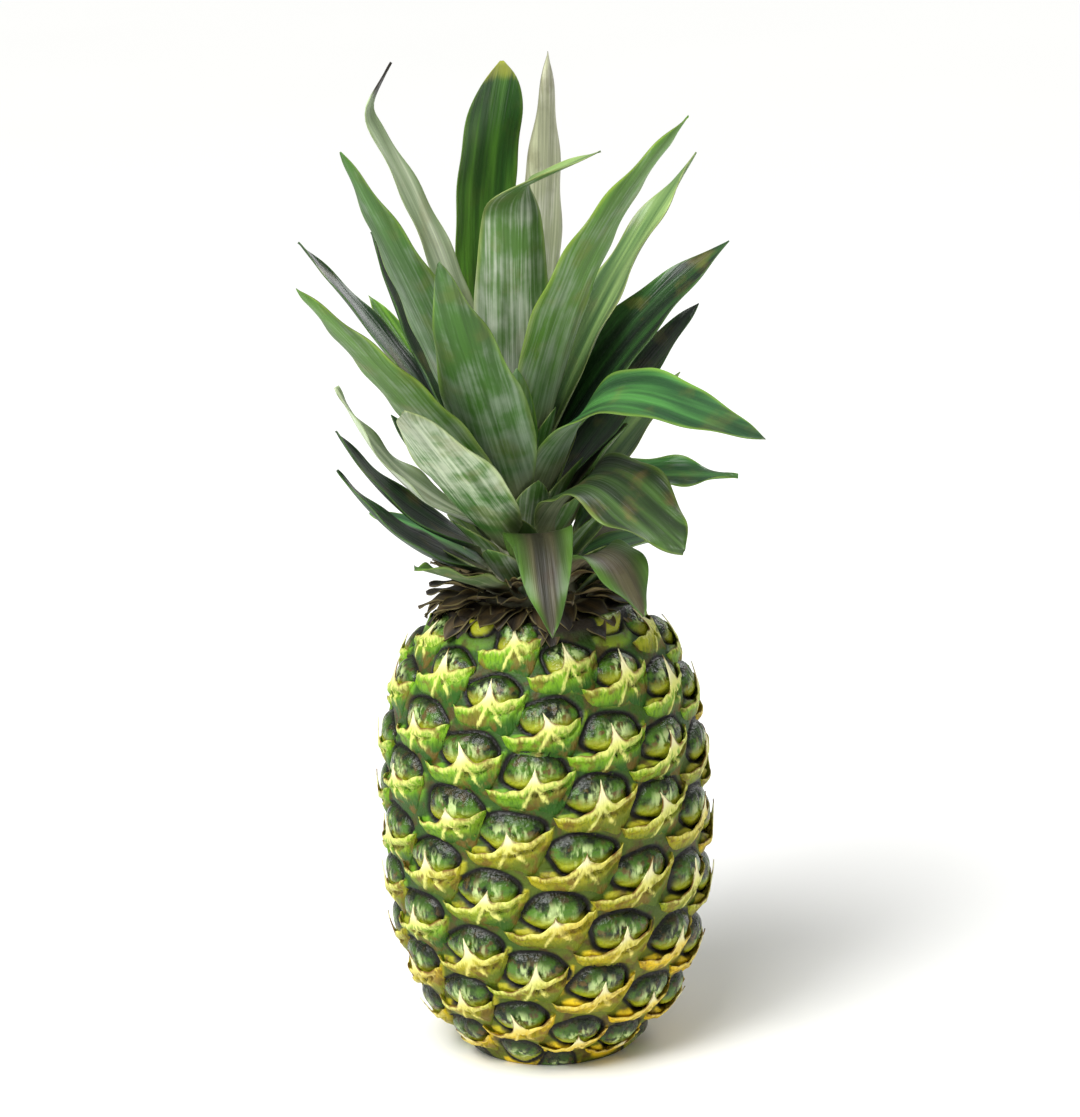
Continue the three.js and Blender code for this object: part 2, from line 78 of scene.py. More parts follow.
def build_piece(
    name: str,
    points: Array,
    faces: list[Array],
    material: bpy.types.Material,
    attributes: dict[str, Array] | None = None,
) -> bpy.types.Object:
    """Make a smooth mesh object at the origin.

    Args:
        name: The piece's name.
        points: Vertex places in millimetres, one row each.
        faces: Index arrays, one for each number of corners.
        material: What the piece is made of.
        attributes: Values for each vertex, single numbers or triples.

    Returns:
        The object, linked to the scene.
    """
    mesh = bpy.data.meshes.new(name)
    corners = np.concatenate([f.ravel() for f in faces]).astype(np.int32)
    sizes = np.concatenate([np.full(len(f), f.shape[1]) for f in faces])
    mesh.vertices.add(len(points))
    mesh.vertices.foreach_set("co", (points * MM).astype(np.float32).ravel())
    mesh.loops.add(len(corners))
    mesh.loops.foreach_set("vertex_index", corners)
    mesh.polygons.add(len(sizes))
    mesh.polygons.foreach_set("loop_start", (np.cumsum(sizes) - sizes).astype(np.int32))
    mesh.polygons.foreach_set("use_smooth", np.ones(len(sizes), dtype=bool))
    for key, values in (attributes or {}).items():
        kind, slot = ("FLOAT", "value") if values.ndim == 1 else ("FLOAT_VECTOR", "vector")
        layer = mesh.attributes.new(key, kind, "POINT")
        layer.data.foreach_set(slot, values.astype(np.float32).ravel())
    mesh.update(calc_edges=True)
    mesh.materials.append(material)
    piece = bpy.data.objects.new(name, mesh)
    bpy.context.scene.collection.objects.link(piece)
    return piece


def grid_faces(rows: int, cols: int, closes: bool) -> Array:
    """Quads of a grid of points.

    Args:
        rows: Points along.
        cols: Points across.
        closes: Whether the last column joins the first.

    Returns:
        Four corners for each quad.
    """
    across = cols if closes else cols - 1
    r, c = np.meshgrid(np.arange(rows - 1), np.arange(across), indexing="ij")
    d = (c + 1) % cols
    quads = np.stack([r * cols + c, (r + 1) * cols + c, (r + 1) * cols + d, r * cols + d], axis=-1)
    return quads.reshape(-1, 4)


def sheet_faces(copies: int, rows: int, cols: int) -> list[Array]:
    """Faces of closed thin sheets.

    Each sheet has an upper grid of points, then a lower grid. The lower grid's quads are turned over, and
    a rim of quads follows the edge from one grid to the other.

    Args:
        copies: How many sheets.
        rows: Points along a sheet.
        cols: Points across it.

    Returns:
        One array of quads in a list.
    """
    size = rows * cols
    upper = grid_faces(rows, cols, False)
    lower = upper[:, ::-1] + size
    left = np.arange(rows) * cols
    ring = np.concatenate([left, (rows - 1) * cols + np.arange(1, cols), left[::-1][1:] + cols - 1,
                           np.arange(cols - 2, 0, -1)])
    after = np.roll(ring, -1)
    rim = np.stack([after, ring, ring + size, after + size], axis=-1)
    one = np.concatenate([upper, lower, rim])
    return [(one[None] + (np.arange(copies) * 2 * size)[:, None, None]).reshape(-1, 4)]


def level_rings(pairs: list[tuple[float, float]], angle: Array) -> Array:
    """Level rings about the Z axis, one for each pair of radius and height."""
    radius, height = [np.array(column)[:, None] for column in zip(*pairs)]
    return np.stack([radius * np.cos(angle), radius * np.sin(angle), height + 0.0 * angle], axis=-1)


def close_round(grid: Array) -> tuple[Array, list[Array]]:
    """Close a stack of rings, given from the top down, with one point at each end.

    Args:
        grid: Points of shape rows, cols, 3. The end points are the middles of the first and last rings.

    Returns:
        Vertex places, and the quads between rings and the triangles of the two ends.
    """
    rows, cols = grid.shape[:2]
    ends = grid[[0, -1]].mean(axis=1)
    here = np.arange(cols)
    after = (here + 1) % cols
    low = (rows - 1) * cols
    top = np.stack([np.full(cols, rows * cols), here, after], axis=-1)
    bottom = np.stack([np.full(cols, rows * cols + 1), low + after, low + here], axis=-1)
    return np.concatenate([grid.reshape(-1, 3), ends]), [grid_faces(rows, cols, True), top, bottom]


def stack_sheets(upper: Array, lower: Array) -> Array:
    """Vertex rows of sheets, from grids of shape copies, rows, cols, 3: each upper grid, then its lower."""
    return np.stack([upper, lower], axis=1).reshape(-1, upper.shape[-1])


# Materials

Link = tuple[bpy.types.Node, str | int]
Value = Link | float
Colour = Link | str
Band = tuple[float, float]

MIX_FACTOR, MIX_A, MIX_B, MIX_RESULT = 0, 6, 7, 2


class Paint:
    """A material while it is built: its node tree, with a short method for each use of a node."""

    def __init__(self, name: str) -> None:
        """Start a material with an empty node tree.

        Args:
            name: The material's name.
        """
        self.material = bpy.data.materials.new(name)
        self.material.use_nodes = True
        self.tree = self.material.node_tree
        self.tree.nodes.clear()

    def add(self, kind: str, inputs: dict | None = None, **settings: str) -> bpy.types.Node:
        """Add a shader node.

        Args:
            kind: The node's type without its ShaderNode prefix.
            inputs: Socket name or number to a number, a hex colour, or a node and its output.
            **settings: Node properties.

        Returns:
            The node.
        """
        node = self.tree.nodes.new("ShaderNode" + kind)
        for key, value in settings.items():
            setattr(node, key, value)
        for key, value in (inputs or {}).items():
            if isinstance(value, tuple) and isinstance(value[0], bpy.types.Node):
                self.tree.links.new(value[0].outputs[value[1]], node.inputs[key])
            else:
                node.inputs[key].default_value = linear_colour(value) if isinstance(value, str) else value
        return node

    def attribute(self, name: str) -> Link:
        """The vector that the mesh holds under a name."""
        return self.add("Attribute", attribute_name=name), "Vector"

    def place(self) -> Link:
        """Object coordinates in metres."""
        return self.add("TexCoord"), "Object"

    def split(self, vector: Link) -> tuple[Link, Link, Link]:
        """The X, Y and Z of a vector."""
        node = self.add("SeparateXYZ", {0: vector})
        return (node, "X"), (node, "Y"), (node, "Z")

    def maths(self, operation: str, *values: Value) -> Link:
        """What a Math node makes of its values."""
        return self.add("Math", dict(enumerate(values)), operation=operation), 0

    def rescale(self, value: Link, ends: Band, band: Band = (0.0, 1.0)) -> Link:
        """Turn a value evenly from the ends of a band to new ends, and hold it between them.

        Args:
            value: The value.
            ends: What it is at the band's two ends.
            band: Where it starts and stops changing.

        Returns:
            The new value.
        """
        node = self.add("MapRange", {"Value": value, "From Min": band[0], "From Max": band[1],
                                     "To Min": ends[0], "To Max": ends[1]})
        return node, "Result"

    def ease(self, value: Link, band: Band) -> Link:
        """Ease a value from 0 at a band's first end to 1 at its second.

        Args:
            value: The value.
            band: Its two ends; the first may be the higher.

        Returns:
            The eased value.
        """
        node = self.add("MapRange", {"Value": value, "From Min": band[0], "From Max": band[1]},
                        interpolation_type="SMOOTHSTEP")
        return node, "Result"

    def mix(self, factor: Value, a: Colour, b: Colour) -> Link:
        """Mix colour a with colour b by a factor."""
        return self.add("Mix", {MIX_FACTOR: factor, MIX_A: a, MIX_B: b}, data_type="RGBA"), MIX_RESULT

    def blend(self, a: Colour, b: Colour, value: Link, band: Band, most: float = 1.0) -> Link:
        """Blend colour a into colour b as a value runs through a band.

        Args:
            a: Colour at the band's first end.
            b: Colour that comes in towards its second end.
            value: What decides.
            band: The value's two ends; the first may be the higher.
            most: Share of b at the second end.

        Returns:
            The blended colour.
        """
        factor = self.ease(value, band)
        return self.mix(factor if most == 1.0 else self.maths("MULTIPLY", factor, most), a, b)

    def noise(self, vector: Link, factors: tuple[float, float, float], scale: float, detail: float) -> Link:
        """Noise on a vector, each of whose axes is first multiplied by a factor."""
        stretched = self.add("VectorMath", {0: vector, 1: factors}, operation="MULTIPLY")
        return self.add("TexNoise", {"Vector": (stretched, 0), "Scale": scale, "Detail": detail}), "Fac"

    def lumps(self, size_mm: float, detail: float = 4.0, stretch_z: float = 1.0) -> Link:
        """Noise on Object coordinates whose lumps are about size_mm across."""
        return self.noise(self.place(), (1.0, 1.0, 1.0 / stretch_z), 1.0 / (size_mm * MM), detail)

    def finish(
        self,
        colour: Link,
        roughness: Value,
        height: Link | None = None,
        depth_mm: float = 0.1,
        specular: float = 0.5,
    ) -> bpy.types.Material:
        """Close the material with a Principled shader.

        Args:
            colour: Base colour.
            roughness: Roughness, a number or a node's output.
            height: What the bump follows, from 0 to 1.
            depth_mm: Depth of the bump in millimetres.
            specular: Level of the specular reflection.

        Returns:
            The material.
        """
        inputs: dict = {"Base Color": colour, "Roughness": roughness, "Specular IOR Level": specular}
        if height:
            bump = self.add("Bump", {"Height": height, "Distance": depth_mm * MM, "Strength": 1.0})
            inputs["Normal"] = (bump, "Normal")
        shader = self.add("BsdfPrincipled", inputs)
        self.add("OutputMaterial", {"Surface": (shader, "BSDF")})
        return self.material


# The fruit


@dataclass(frozen=True)
class FruitSizes:
    """Outline of the fruit over its eyes, in millimetres."""

    radius: float = 60.0
    height: float = 167.0
    widest: float = 92.0
    reach_below: float = 98.0
    reach_above: float = 82.0
    squareness: float = 2.7
    hollow_mouth: float = 18.0
    hollow_ceiling: float = 14.5
    hollow_depth: float = 8.0


@dataclass(frozen=True)
class EyeSizes:
    """The spiral of the eyes and one eye's relief, in degrees, millimetres and shares of a dome."""

    turn: float = -139.1
    drop: float = 1.68
    first_turn: float = 208.5
    first_arc: float = 172.0
    groove: float = 4.4
    dome_width: float = 12.8
    dome_height: float = 7.4
    dome_centre: float = 6.2
    dome_rise: float = 4.3
    dome_power: float = 2.6
    dome_round: float = 0.6
    dome_waves: tuple[tuple[float, float, float], ...] = ((0.05, 3.0, 1.0), (0.035, 5.0, 2.3))
    crease_depth: float = 0.9
    crease_share: float = 0.08
    ripple: float = 0.16
    dimple_depth: float = 0.7
    dimple_share: float = 0.16
    bract_foot: float = -11.0
    bract_width: float = 17.0
    lip_start: float = 1.4
    lip_tilt: float = 0.26
    lip_curve: float = 0.008
    bract_rise: float = 4.6
    lip_edge: float = 1.6
    flesh: float = 1.1
    bed_at_dome: float = 0.12
    wobble_turn: float = 0.9
    wobble_arc: float = 0.7
    fade_bottom: float = 8.0
    fade_top: float = 6.0


@dataclass
class Profile:
    """The fruit's outline as a function of the length along it, from the bottom up."""

    sizes: FruitSizes
    steps: int = 1600

    def __post_init__(self) -> None:
        """Tabulate the outline: r = R (1 - |(z - widest) / reach|^p)^(1/p), with its arc length."""
        s = self.sizes
        z = np.linspace(0.0, s.height, self.steps)
        reach = np.where(z < s.widest, s.reach_below, s.reach_above)
        share = np.minimum(np.abs(z - s.widest) / reach, 1.0)
        radius = s.radius * (1.0 - share**s.squareness) ** (1.0 / s.squareness)
        arc = np.concatenate([[0.0], np.cumsum(np.hypot(np.diff(z), np.diff(radius)))])
        slope_z, slope_r = np.gradient(z, arc), np.gradient(radius, arc)
        self.table = (arc, z, radius, slope_z, -slope_r)
        self.length = float(arc[-1])

    def at(self, arc: Array) -> tuple[Array, Array, Array, Array]:
        """The outline at places along it.

        Args:
            arc: Length along the outline in millimetres.

        Returns:
            Height, radius, and the outward normal's radial and upward shares.
        """
        known, *columns = self.table
        z, radius, out, up = [np.interp(arc, known, column) for column in columns]
        size = np.hypot(out, up)
        return z, radius, out / size, up / size


class Fruit:
    """The fruit's skin of fused eyes."""

    COLUMNS = 440
    ROWS = 212
    NEAR_EYES = 19
    FIRST_EYE = -20
    EYES = 160
    FAR = 9.0
    OFF_THE_EYES = (0.0, 2.0, 0.5)

    def __init__(self, sizes: FruitSizes, eyes: EyeSizes, seed: int = 5) -> None:
        """Keep the sizes and draw each eye's own small differences.

        Args:
            sizes: The fruit's outline.
            eyes: The spiral and the relief of the eyes.
            seed: Seed of the differences.
        """
        self.sizes, self.eyes = sizes, eyes
        self.profile = Profile(sizes)
        self.rng = np.random.default_rng(seed)
        self.shift_turn = eyes.wobble_turn * self.rng.standard_normal(self.EYES)
        self.shift_arc = eyes.wobble_arc * self.rng.standard_normal(self.EYES)
        self.tone = self.rng.random(self.EYES)

    def place(self, turn: Array, arc: Array, height: Array) -> Array:
        """Points over the skin: the profile at an arc length, turned, and moved out along its normal.

        Args:
            turn: Degrees round the fruit.
            arc: Length up the skin in millimetres.
            height: Millimetres over the profile.

        Returns:
            The points.
        """
        z, radius, out, up = self.profile.at(arc)
        lifted = radius + height * out
        angle = np.radians(turn)
        return np.stack([lifted * np.sin(angle), -lifted * np.cos(angle), z + height * up], axis=-1)

    def row(self, number: Array) -> Array:
        """Where an eye's own differences are kept, by its number along the spiral."""
        return (number.astype(int) - self.FIRST_EYE) % self.EYES

    def eye_place(self, number: Array) -> tuple[Array, Array]:
        """Place of an eye's centre: each eye is a turn and a drop past the one before it.

        Args:
            number: The eye's number along the spiral.

        Returns:
            Degrees round the fruit, and length up the skin.
        """
        e, row = self.eyes, self.row(number)
        return (e.first_turn + number * e.turn + self.shift_turn[row],
                e.first_arc - number * e.drop + self.shift_arc[row])

    def local(self, turn: Array, arc: Array, number: Array) -> tuple[Array, Array]:
        """From an eye's centre to places on the skin.

        Args:
            turn: Degrees round the fruit.
            arc: Length up the skin in millimetres.
            number: The eye's number along the spiral.

        Returns:
            Millimetres across and up.
        """
        centre_turn, centre_arc = self.eye_place(number)
        offset = (turn - centre_turn + 180.0) % 360.0 - 180.0
        return np.radians(offset) * self.sizes.radius, arc - centre_arc

    def fade(self, arc: Array) -> Array:
        """Share of the relief that is left near the fruit's two ends."""
        e = self.eyes
        return smooth_step(arc / e.fade_bottom) * smooth_step((self.profile.length - arc) / e.fade_top)

    def girth(self, arc: Array) -> Array:
        """Share of the eyes' full height that goes with the fruit's radius there: its square root."""
        return np.sqrt(self.profile.at(arc)[1] / self.sizes.radius)

    def dome(self, x: Array, y: Array, phase: Array) -> tuple[Array, Array]:
        """One eye's low dome of three closed sepals.

        The height is rise (1 - d^power)^round, where d is the distance from the dome's centre in shares
        of its two half widths. Each of the dome's waves makes d uneven by a share, so many times round
        the dome. Three creases run out from the centre between faint ripples, and a small dimple lies in
        it.

        Args:
            x: Millimetres across from the eye's centre.
            y: Millimetres up from it.
            phase: Start of the eye's own waves in radians.

        Returns:
            The height, and d.
        """
        e = self.eyes
        across, along = x / e.dome_width, (y - e.dome_centre) / e.dome_height
        angle = np.arctan2(along + 0.1, across)
        uneven = np.ones_like(angle)
        for share, times, lead in e.dome_waves:
            uneven = uneven + share * np.sin(times * angle + lead * phase)
        distance = np.hypot(across, along) * uneven
        body = np.clip(1.0 - distance**e.dome_power, 0.0, 1.0) ** e.dome_round
        seam = np.sin(1.5 * (angle - np.pi / 2.0) + 0.2 * np.sin(phase))
        crease = np.exp(-((seam * (distance + 0.05) / e.crease_share) ** 2))
        ripple = e.ripple * np.sin(9.0 * angle + 5.0 * distance) * distance
        dimple = np.exp(-((distance / e.dimple_share) ** 2))
        rise = (e.dome_rise + ripple) * body - e.crease_depth * crease * body * smooth_step(1.3 - distance)
        return np.maximum(rise - e.dimple_depth * dimple, 0.0), distance

    def lip(self, x: Array) -> Array:
        """Height up the skin of a bract's lip: start + tilt x + curve x^2, so it rises to the wings."""
        return self.eyes.lip_start + self.eyes.lip_tilt * x + self.eyes.lip_curve * x * x

    def bract_bed(self, x: Array, y: Array) -> Array:
        """Relief under a bract: it slopes up from the foot to the lip, then drops over the lip's edge.

        Args:
            x: Millimetres across from the eye's centre.
            y: Millimetres up from it.

        Returns:
            The height.
        """
        e = self.eyes
        lip = self.lip(x)
        slope = np.clip((y - e.bract_foot) / (lip - e.bract_foot), 0.0, 1.0)
        side = np.clip(1.0 - (x / e.bract_width) ** 2, 0.0, 1.0) ** 0.5
        return e.bract_rise * slope * smooth_step((lip + e.lip_edge - y) / e.lip_edge) * side

    def relief(self, turn: Array, arc: Array) -> tuple[Array, Array, Array, Array, Array]:
        """Height of the eyes over the groove at places on the skin.

        It is the highest of the domes, the bract beds and a low layer of flesh. A narrow groove is cut
        round each dome, and the relief fades out at the fruit's two ends.

        Args:
            turn: Degrees round the fruit.
            arc: Length up the skin in millimetres.

        Returns:
            Height, distance from the nearest dome's centre in shares, the nearest dome's tone, the height
            of the bract bed, and how far up the nearest dome the place is in shares.
        """
        e = self.eyes
        nearest = np.round((e.first_arc - arc) / e.drop)
        dome, bed, closest = np.zeros_like(arc), np.full_like(arc, e.flesh), np.full_like(arc, self.FAR)
        owner, upward = np.zeros_like(arc), np.zeros_like(arc)
        for number in (nearest + step for step in range(-self.NEAR_EYES, self.NEAR_EYES + 1)):
            x, y = self.local(turn, arc, number)
            height, distance = self.dome(x, y, WHOLE_WAVE * self.tone[self.row(number)])
            nearer = distance < closest
            owner = np.where(nearer, number, owner)
            upward = np.where(nearer, (y - e.dome_centre) / e.dome_height, upward)
            closest = np.minimum(closest, distance)
            dome = np.maximum(dome, height)
            bed = np.maximum(bed, self.bract_bed(x, y))
        bed = bed * (e.bed_at_dome + (1.0 - e.bed_at_dome) * smooth_step((closest - 1.0) / 0.15))
        height = np.maximum(dome, bed) * (self.girth(arc) * self.fade(arc))
        return height, closest, self.tone[self.row(owner)], bed, upward

    def build(self, material: bpy.types.Material) -> bpy.types.Object:
        """Build the skin: rows of arc length by columns of turn, closed by the shoulder and the hollow.

        Args:
            material: The rind.

        Returns:
            The skin as one closed piece.
        """
        s, e = self.sizes, self.eyes
        turn = np.arange(self.COLUMNS) * 360.0 / self.COLUMNS
        arc = np.linspace(self.profile.length, 0.0, self.ROWS)
        turns, arcs = np.meshgrid(turn, arc)
        relief, distance, tone, bed, upward = self.relief(turns, arcs)
        body = self.place(turns, arcs, relief - e.groove * self.fade(arcs))
        top_radius, bottom_radius = self.profile.at(np.array([self.profile.length, 0.0]))[1]
        shoulder = [(top_radius * 0.5, s.height), (top_radius * 0.9, s.height)]
        hollow = [(bottom_radius * 0.85, 0.0), (s.hollow_mouth, 0.0), (s.hollow_ceiling, s.hollow_depth)]
        angle = np.radians(turn - 90.0)
        grid = np.concatenate([level_rings(shoulder, angle), body, level_rings(hollow, angle)])
        points, faces = close_round(grid)
        rows = slice(len(shoulder) * self.COLUMNS, (len(shoulder) + self.ROWS) * self.COLUMNS)
        eye = np.zeros((len(points), 3)) + np.array(self.OFF_THE_EYES)
        eye[rows] = np.stack([smooth_step((1.03 - distance) / 0.1), distance, tone], axis=-1).reshape(-1, 3)
        height = np.zeros((len(points), 3))
        height[rows] = np.stack([relief / e.dome_rise, bed / e.bract_rise, upward], axis=-1).reshape(-1, 3)
        return build_piece("rind", points, faces, material, {"eye": eye, "relief": height})


@dataclass(frozen=True)
class BractSizes:
    """A bract's sheet, in millimetres and shares.

    The pairs from point to reach_right are a middle and a spread between bracts. A cusp is a share of the
    point and a width. A lobe or a notch is a depth, a place across and a width.
    """

    rows: int = 14
    cols: int = 33
    first: int = -4
    last: int = 99
    above_base: float = 9.0
    below_top: float = 7.0
    point: tuple[float, float] = (8.6, 1.7)
    lean: tuple[float, float] = (-0.8, 1.5)
    tilt: tuple[float, float] = (0.0, 0.035)
    lift: tuple[float, float] = (1.0, 0.2)
    reach_left: tuple[float, float] = (20.0, 1.2)
    reach_right: tuple[float, float] = (15.2, 1.2)
    foot: float = 11.0
    foot_round: float = 0.6
    crowding: float = 1.6
    sharp_cusp: tuple[float, float] = (0.72, 1.2)
    broad_cusp: tuple[float, float] = (0.28, 3.6)
    lean_power: float = 1.4
    right_lobe: tuple[float, float, float] = (3.4, 8.0, 3.2)
    left_notch: tuple[float, float, float] = (2.0, -8.7, 6.0)
    ruffle: float = 0.35
    ruffle_per_mm: float = 0.9
    ruffle_start: float = 9.0
    lip_over_bed: float = 0.5
    lip_depth: float = 3.6
    lip_ease: float = 2.2
    rib_spread: float = 0.62
    rib_start: float = 0.3
    rib_width: float = 0.95
    rib_length: float = 10.5
    rib_ease: float = 6.0
    rib_height: float = 0.6
    buried: float = 1.1
    clear_of_skin: float = 1.5
    clear_from: float = 0.3
    swell: float = 0.5
    rim_from: float = 0.62
    point_from: float = 0.06
    ceiling: float = 1.4
    sink: float = 3.0
    sink_below: float = 6.0
    thick_foot: float = 0.8
    thinning: float = 0.45


class Bracts:
    """The bract that clasps each eye, as a thin closed sheet: a grid of v up by u across."""

    def __init__(self, fruit: Fruit, sizes: BractSizes) -> None:
        """Choose the eyes that have a bract, and draw each bract's own differences.

        Args:
            fruit: The skin that the bracts lie on.
            sizes: A bract's sizes.
        """
        self.fruit, self.sizes = fruit, sizes
        number = np.arange(sizes.first, sizes.last + 1)
        centre, highest = fruit.eye_place(number)[1], fruit.profile.length - sizes.below_top
        self.number = number[(centre > sizes.above_base) & (centre < highest)]
        self.point, self.lean, self.tilt, self.lift = [
            self.each(*pair) for pair in (sizes.point, sizes.lean, sizes.tilt, sizes.lift)]
        self.reach_left, self.reach_right = self.each(*sizes.reach_left), self.each(*sizes.reach_right)
        self.tone = fruit.rng.random(len(self.number))[:, None, None]

    def each(self, middle: float, spread: float) -> Array:
        """One value for each bract, spread about a middle, shaped to go with its grid."""
        drawn = self.fruit.rng.standard_normal(len(self.number)).clip(-2.0, 2.0)
        return (middle + spread * drawn)[:, None, None]

    def outline(self, u: Array, v: Array) -> tuple[Array, Array, Array, Array]:
        """Spread the grid over the skin.

        The foot lies in the groove below the eye, with a lobe at the right and a notch at the left. The
        upper edge follows the lip, with a cusp in the middle that is the bract's point: its length times
        a sharp peak and a broad one. The columns crowd together towards the middle.

        Args:
            u: Shares across, from -1 to 1.
            v: Shares up, from 0 to 1.

        Returns:
            Millimetres across and up from the eye's centre, the lip's height, and the share out to the
            wing's end.
        """
        s = self.sizes
        reach = np.where(u < 0.0, self.reach_left, self.reach_right)
        x = np.sign(u) * np.abs(u) ** s.crowding * reach + 0.0 * v
        wing = np.abs(x) / reach
        ruffle = s.ruffle * np.sin(s.ruffle_per_mm * x + s.ruffle_start * self.tone)
        lip = self.fruit.lip(x) + self.tilt * x + ruffle
        lobe, notch = [size * bell(x, at, width) for size, at, width in (s.right_lobe, s.left_notch)]
        inner = np.clip(1.0 - wing**3, 0.0, 1.0)
        foot = lip * wing**3 - (s.foot + (lobe - notch)) * inner**s.foot_round
        (sharp, sharp_width), (broad, broad_width) = s.sharp_cusp, s.broad_cusp
        cusp = self.point * (sharp * np.exp(-np.abs(x) / sharp_width) + broad * bell(x, 0.0, broad_width))
        return x, foot + (lip + cusp - foot) * v, lip, wing

    def build(self, material: bpy.types.Material) -> bpy.types.Object:
        """Build the bracts.

        Each sheet lies just over the skin, rises to the lip's edge and lifts off towards its point. Two
        low ribs run down and apart from the cusp. Near the fruit's base the sheets sink into the skin.

        Args:
            material: The bracts' finish.

        Returns:
            All bracts as one piece.
        """
        s, e, fruit = self.sizes, self.fruit.eyes, self.fruit
        v = np.linspace(0.0, 1.0, s.rows)[None, :, None]
        x, y, lip, wing = self.outline(np.linspace(-1.0, 1.0, s.cols)[None, None, :], v)
        beyond = np.clip((y - lip) / self.point, 0.0, 1.0)
        turn, arc = fruit.eye_place(self.number[:, None, None])
        turns = turn + np.degrees((x + self.lean * beyond**s.lean_power) / fruit.sizes.radius)
        arcs = arc + y
        inner = np.clip(1.0 - wing**3, 0.0, 1.0)
        rib_at = s.rib_spread * np.maximum(lip - y, 0.0)
        rib = np.exp(-(((np.abs(x) - rib_at - s.rib_start) / s.rib_width) ** 2))
        rib = rib * smooth_step((y - lip + s.rib_length) / s.rib_ease)
        rising = smooth_step(v / s.clear_from)
        skin = fruit.relief(turns, arcs)[0] - e.groove * fruit.fade(arcs)
        cover = skin + s.clear_of_skin * rising - s.buried + s.swell * v**3 + s.rib_height * rib * rising
        rise = (e.bract_rise + s.lip_over_bed + self.lift * beyond) * fruit.girth(arcs) - e.groove
        over_lip = smooth_step((y - lip + s.lip_depth) / s.lip_ease) * inner
        height = np.minimum(np.maximum(cover, rise * over_lip + cover * (1.0 - over_lip)), s.ceiling)
        height = height - s.sink * (1.0 - smooth_step(arcs / s.sink_below))
        lower = height - (s.thick_foot - s.thinning * v + 0.0 * x)
        rim = smooth_step((v - s.rim_from) / (1.0 - s.rim_from)) * (1.0 - 0.5 * wing)
        ridge = np.maximum(np.maximum(rib, rim), smooth_step(beyond / s.point_from))
        shares = np.stack([v + 0.0 * x, ridge + 0.0 * y, self.tone + 0.0 * x], axis=-1)
        edges = np.stack([beyond + 0.0 * x, wing + 0.0 * y, lip - y], axis=-1)
        points = stack_sheets(fruit.place(turns, arcs, height), fruit.place(turns, arcs, lower))
        return build_piece("bracts", points, sheet_faces(len(self.number), s.rows, s.cols), material,
                           {"bract": stack_sheets(shares, shares), "beyond": stack_sheets(edges, edges)})


# The crown


class LeafTone(Enum):
    """How a leaf has aged; the dark tone also carries painted shade, and the cream tone painted light."""

    GREEN = "green"
    DARK = "dark"
    PALE = "pale"
    DRY = "dry"
    LIME = "lime"
    GLOSSY = "glossy"
    FADED = "faded"
    BLEACHED = "bleached"
    HUSK = "husk"
    OLIVE = "olive"
    LIT_CREAM = "cream"


@dataclass(frozen=True)
class StemSizes:
    """The crown's stem, which leans slightly, in millimetres."""

    foot: float = 167.3
    top: float = 236.0
    foot_radius: float = 17.0
    top_radius: float = 5.0
    lean_start: float = -2.0
    lean_per_mm: float = -0.09
    clearance: float = 0.3

    def radius(self, z: float) -> float:
        """Radius at a height."""
        share = (z - self.foot) / (self.top - self.foot)
        return self.foot_radius + share * (self.top_radius - self.foot_radius)

    def centre(self, z: float | Array) -> float | Array:
        """Place of the axis along X at a height."""
        return self.lean_start + self.lean_per_mm * (z - self.foot)


@dataclass(frozen=True)
class LeafShape:
    """One leaf: where it grows, how it runs and how it is cupped. Degrees and millimetres."""

    name: str
    azimuth: float
    root: float
    length: float
    width: float
    rise: tuple[float, float]
    tone: LeafTone = LeafTone.GREEN
    bend: float = 0.5
    span: float = 1.0
    roll: float = 0.0
    cup: float = 31.0
    blunt: float = 2.3
    kink: float = 0.0
    swing: float = 0.0
    kink_at: float = 0.86
    kink_span: float = 0.08
    wave: float = 0.5
    wave_length: float = 26.0
    tip_share: float = 0.035
    root_thickness: float = 2.0
    edge_thickness: float = 0.8


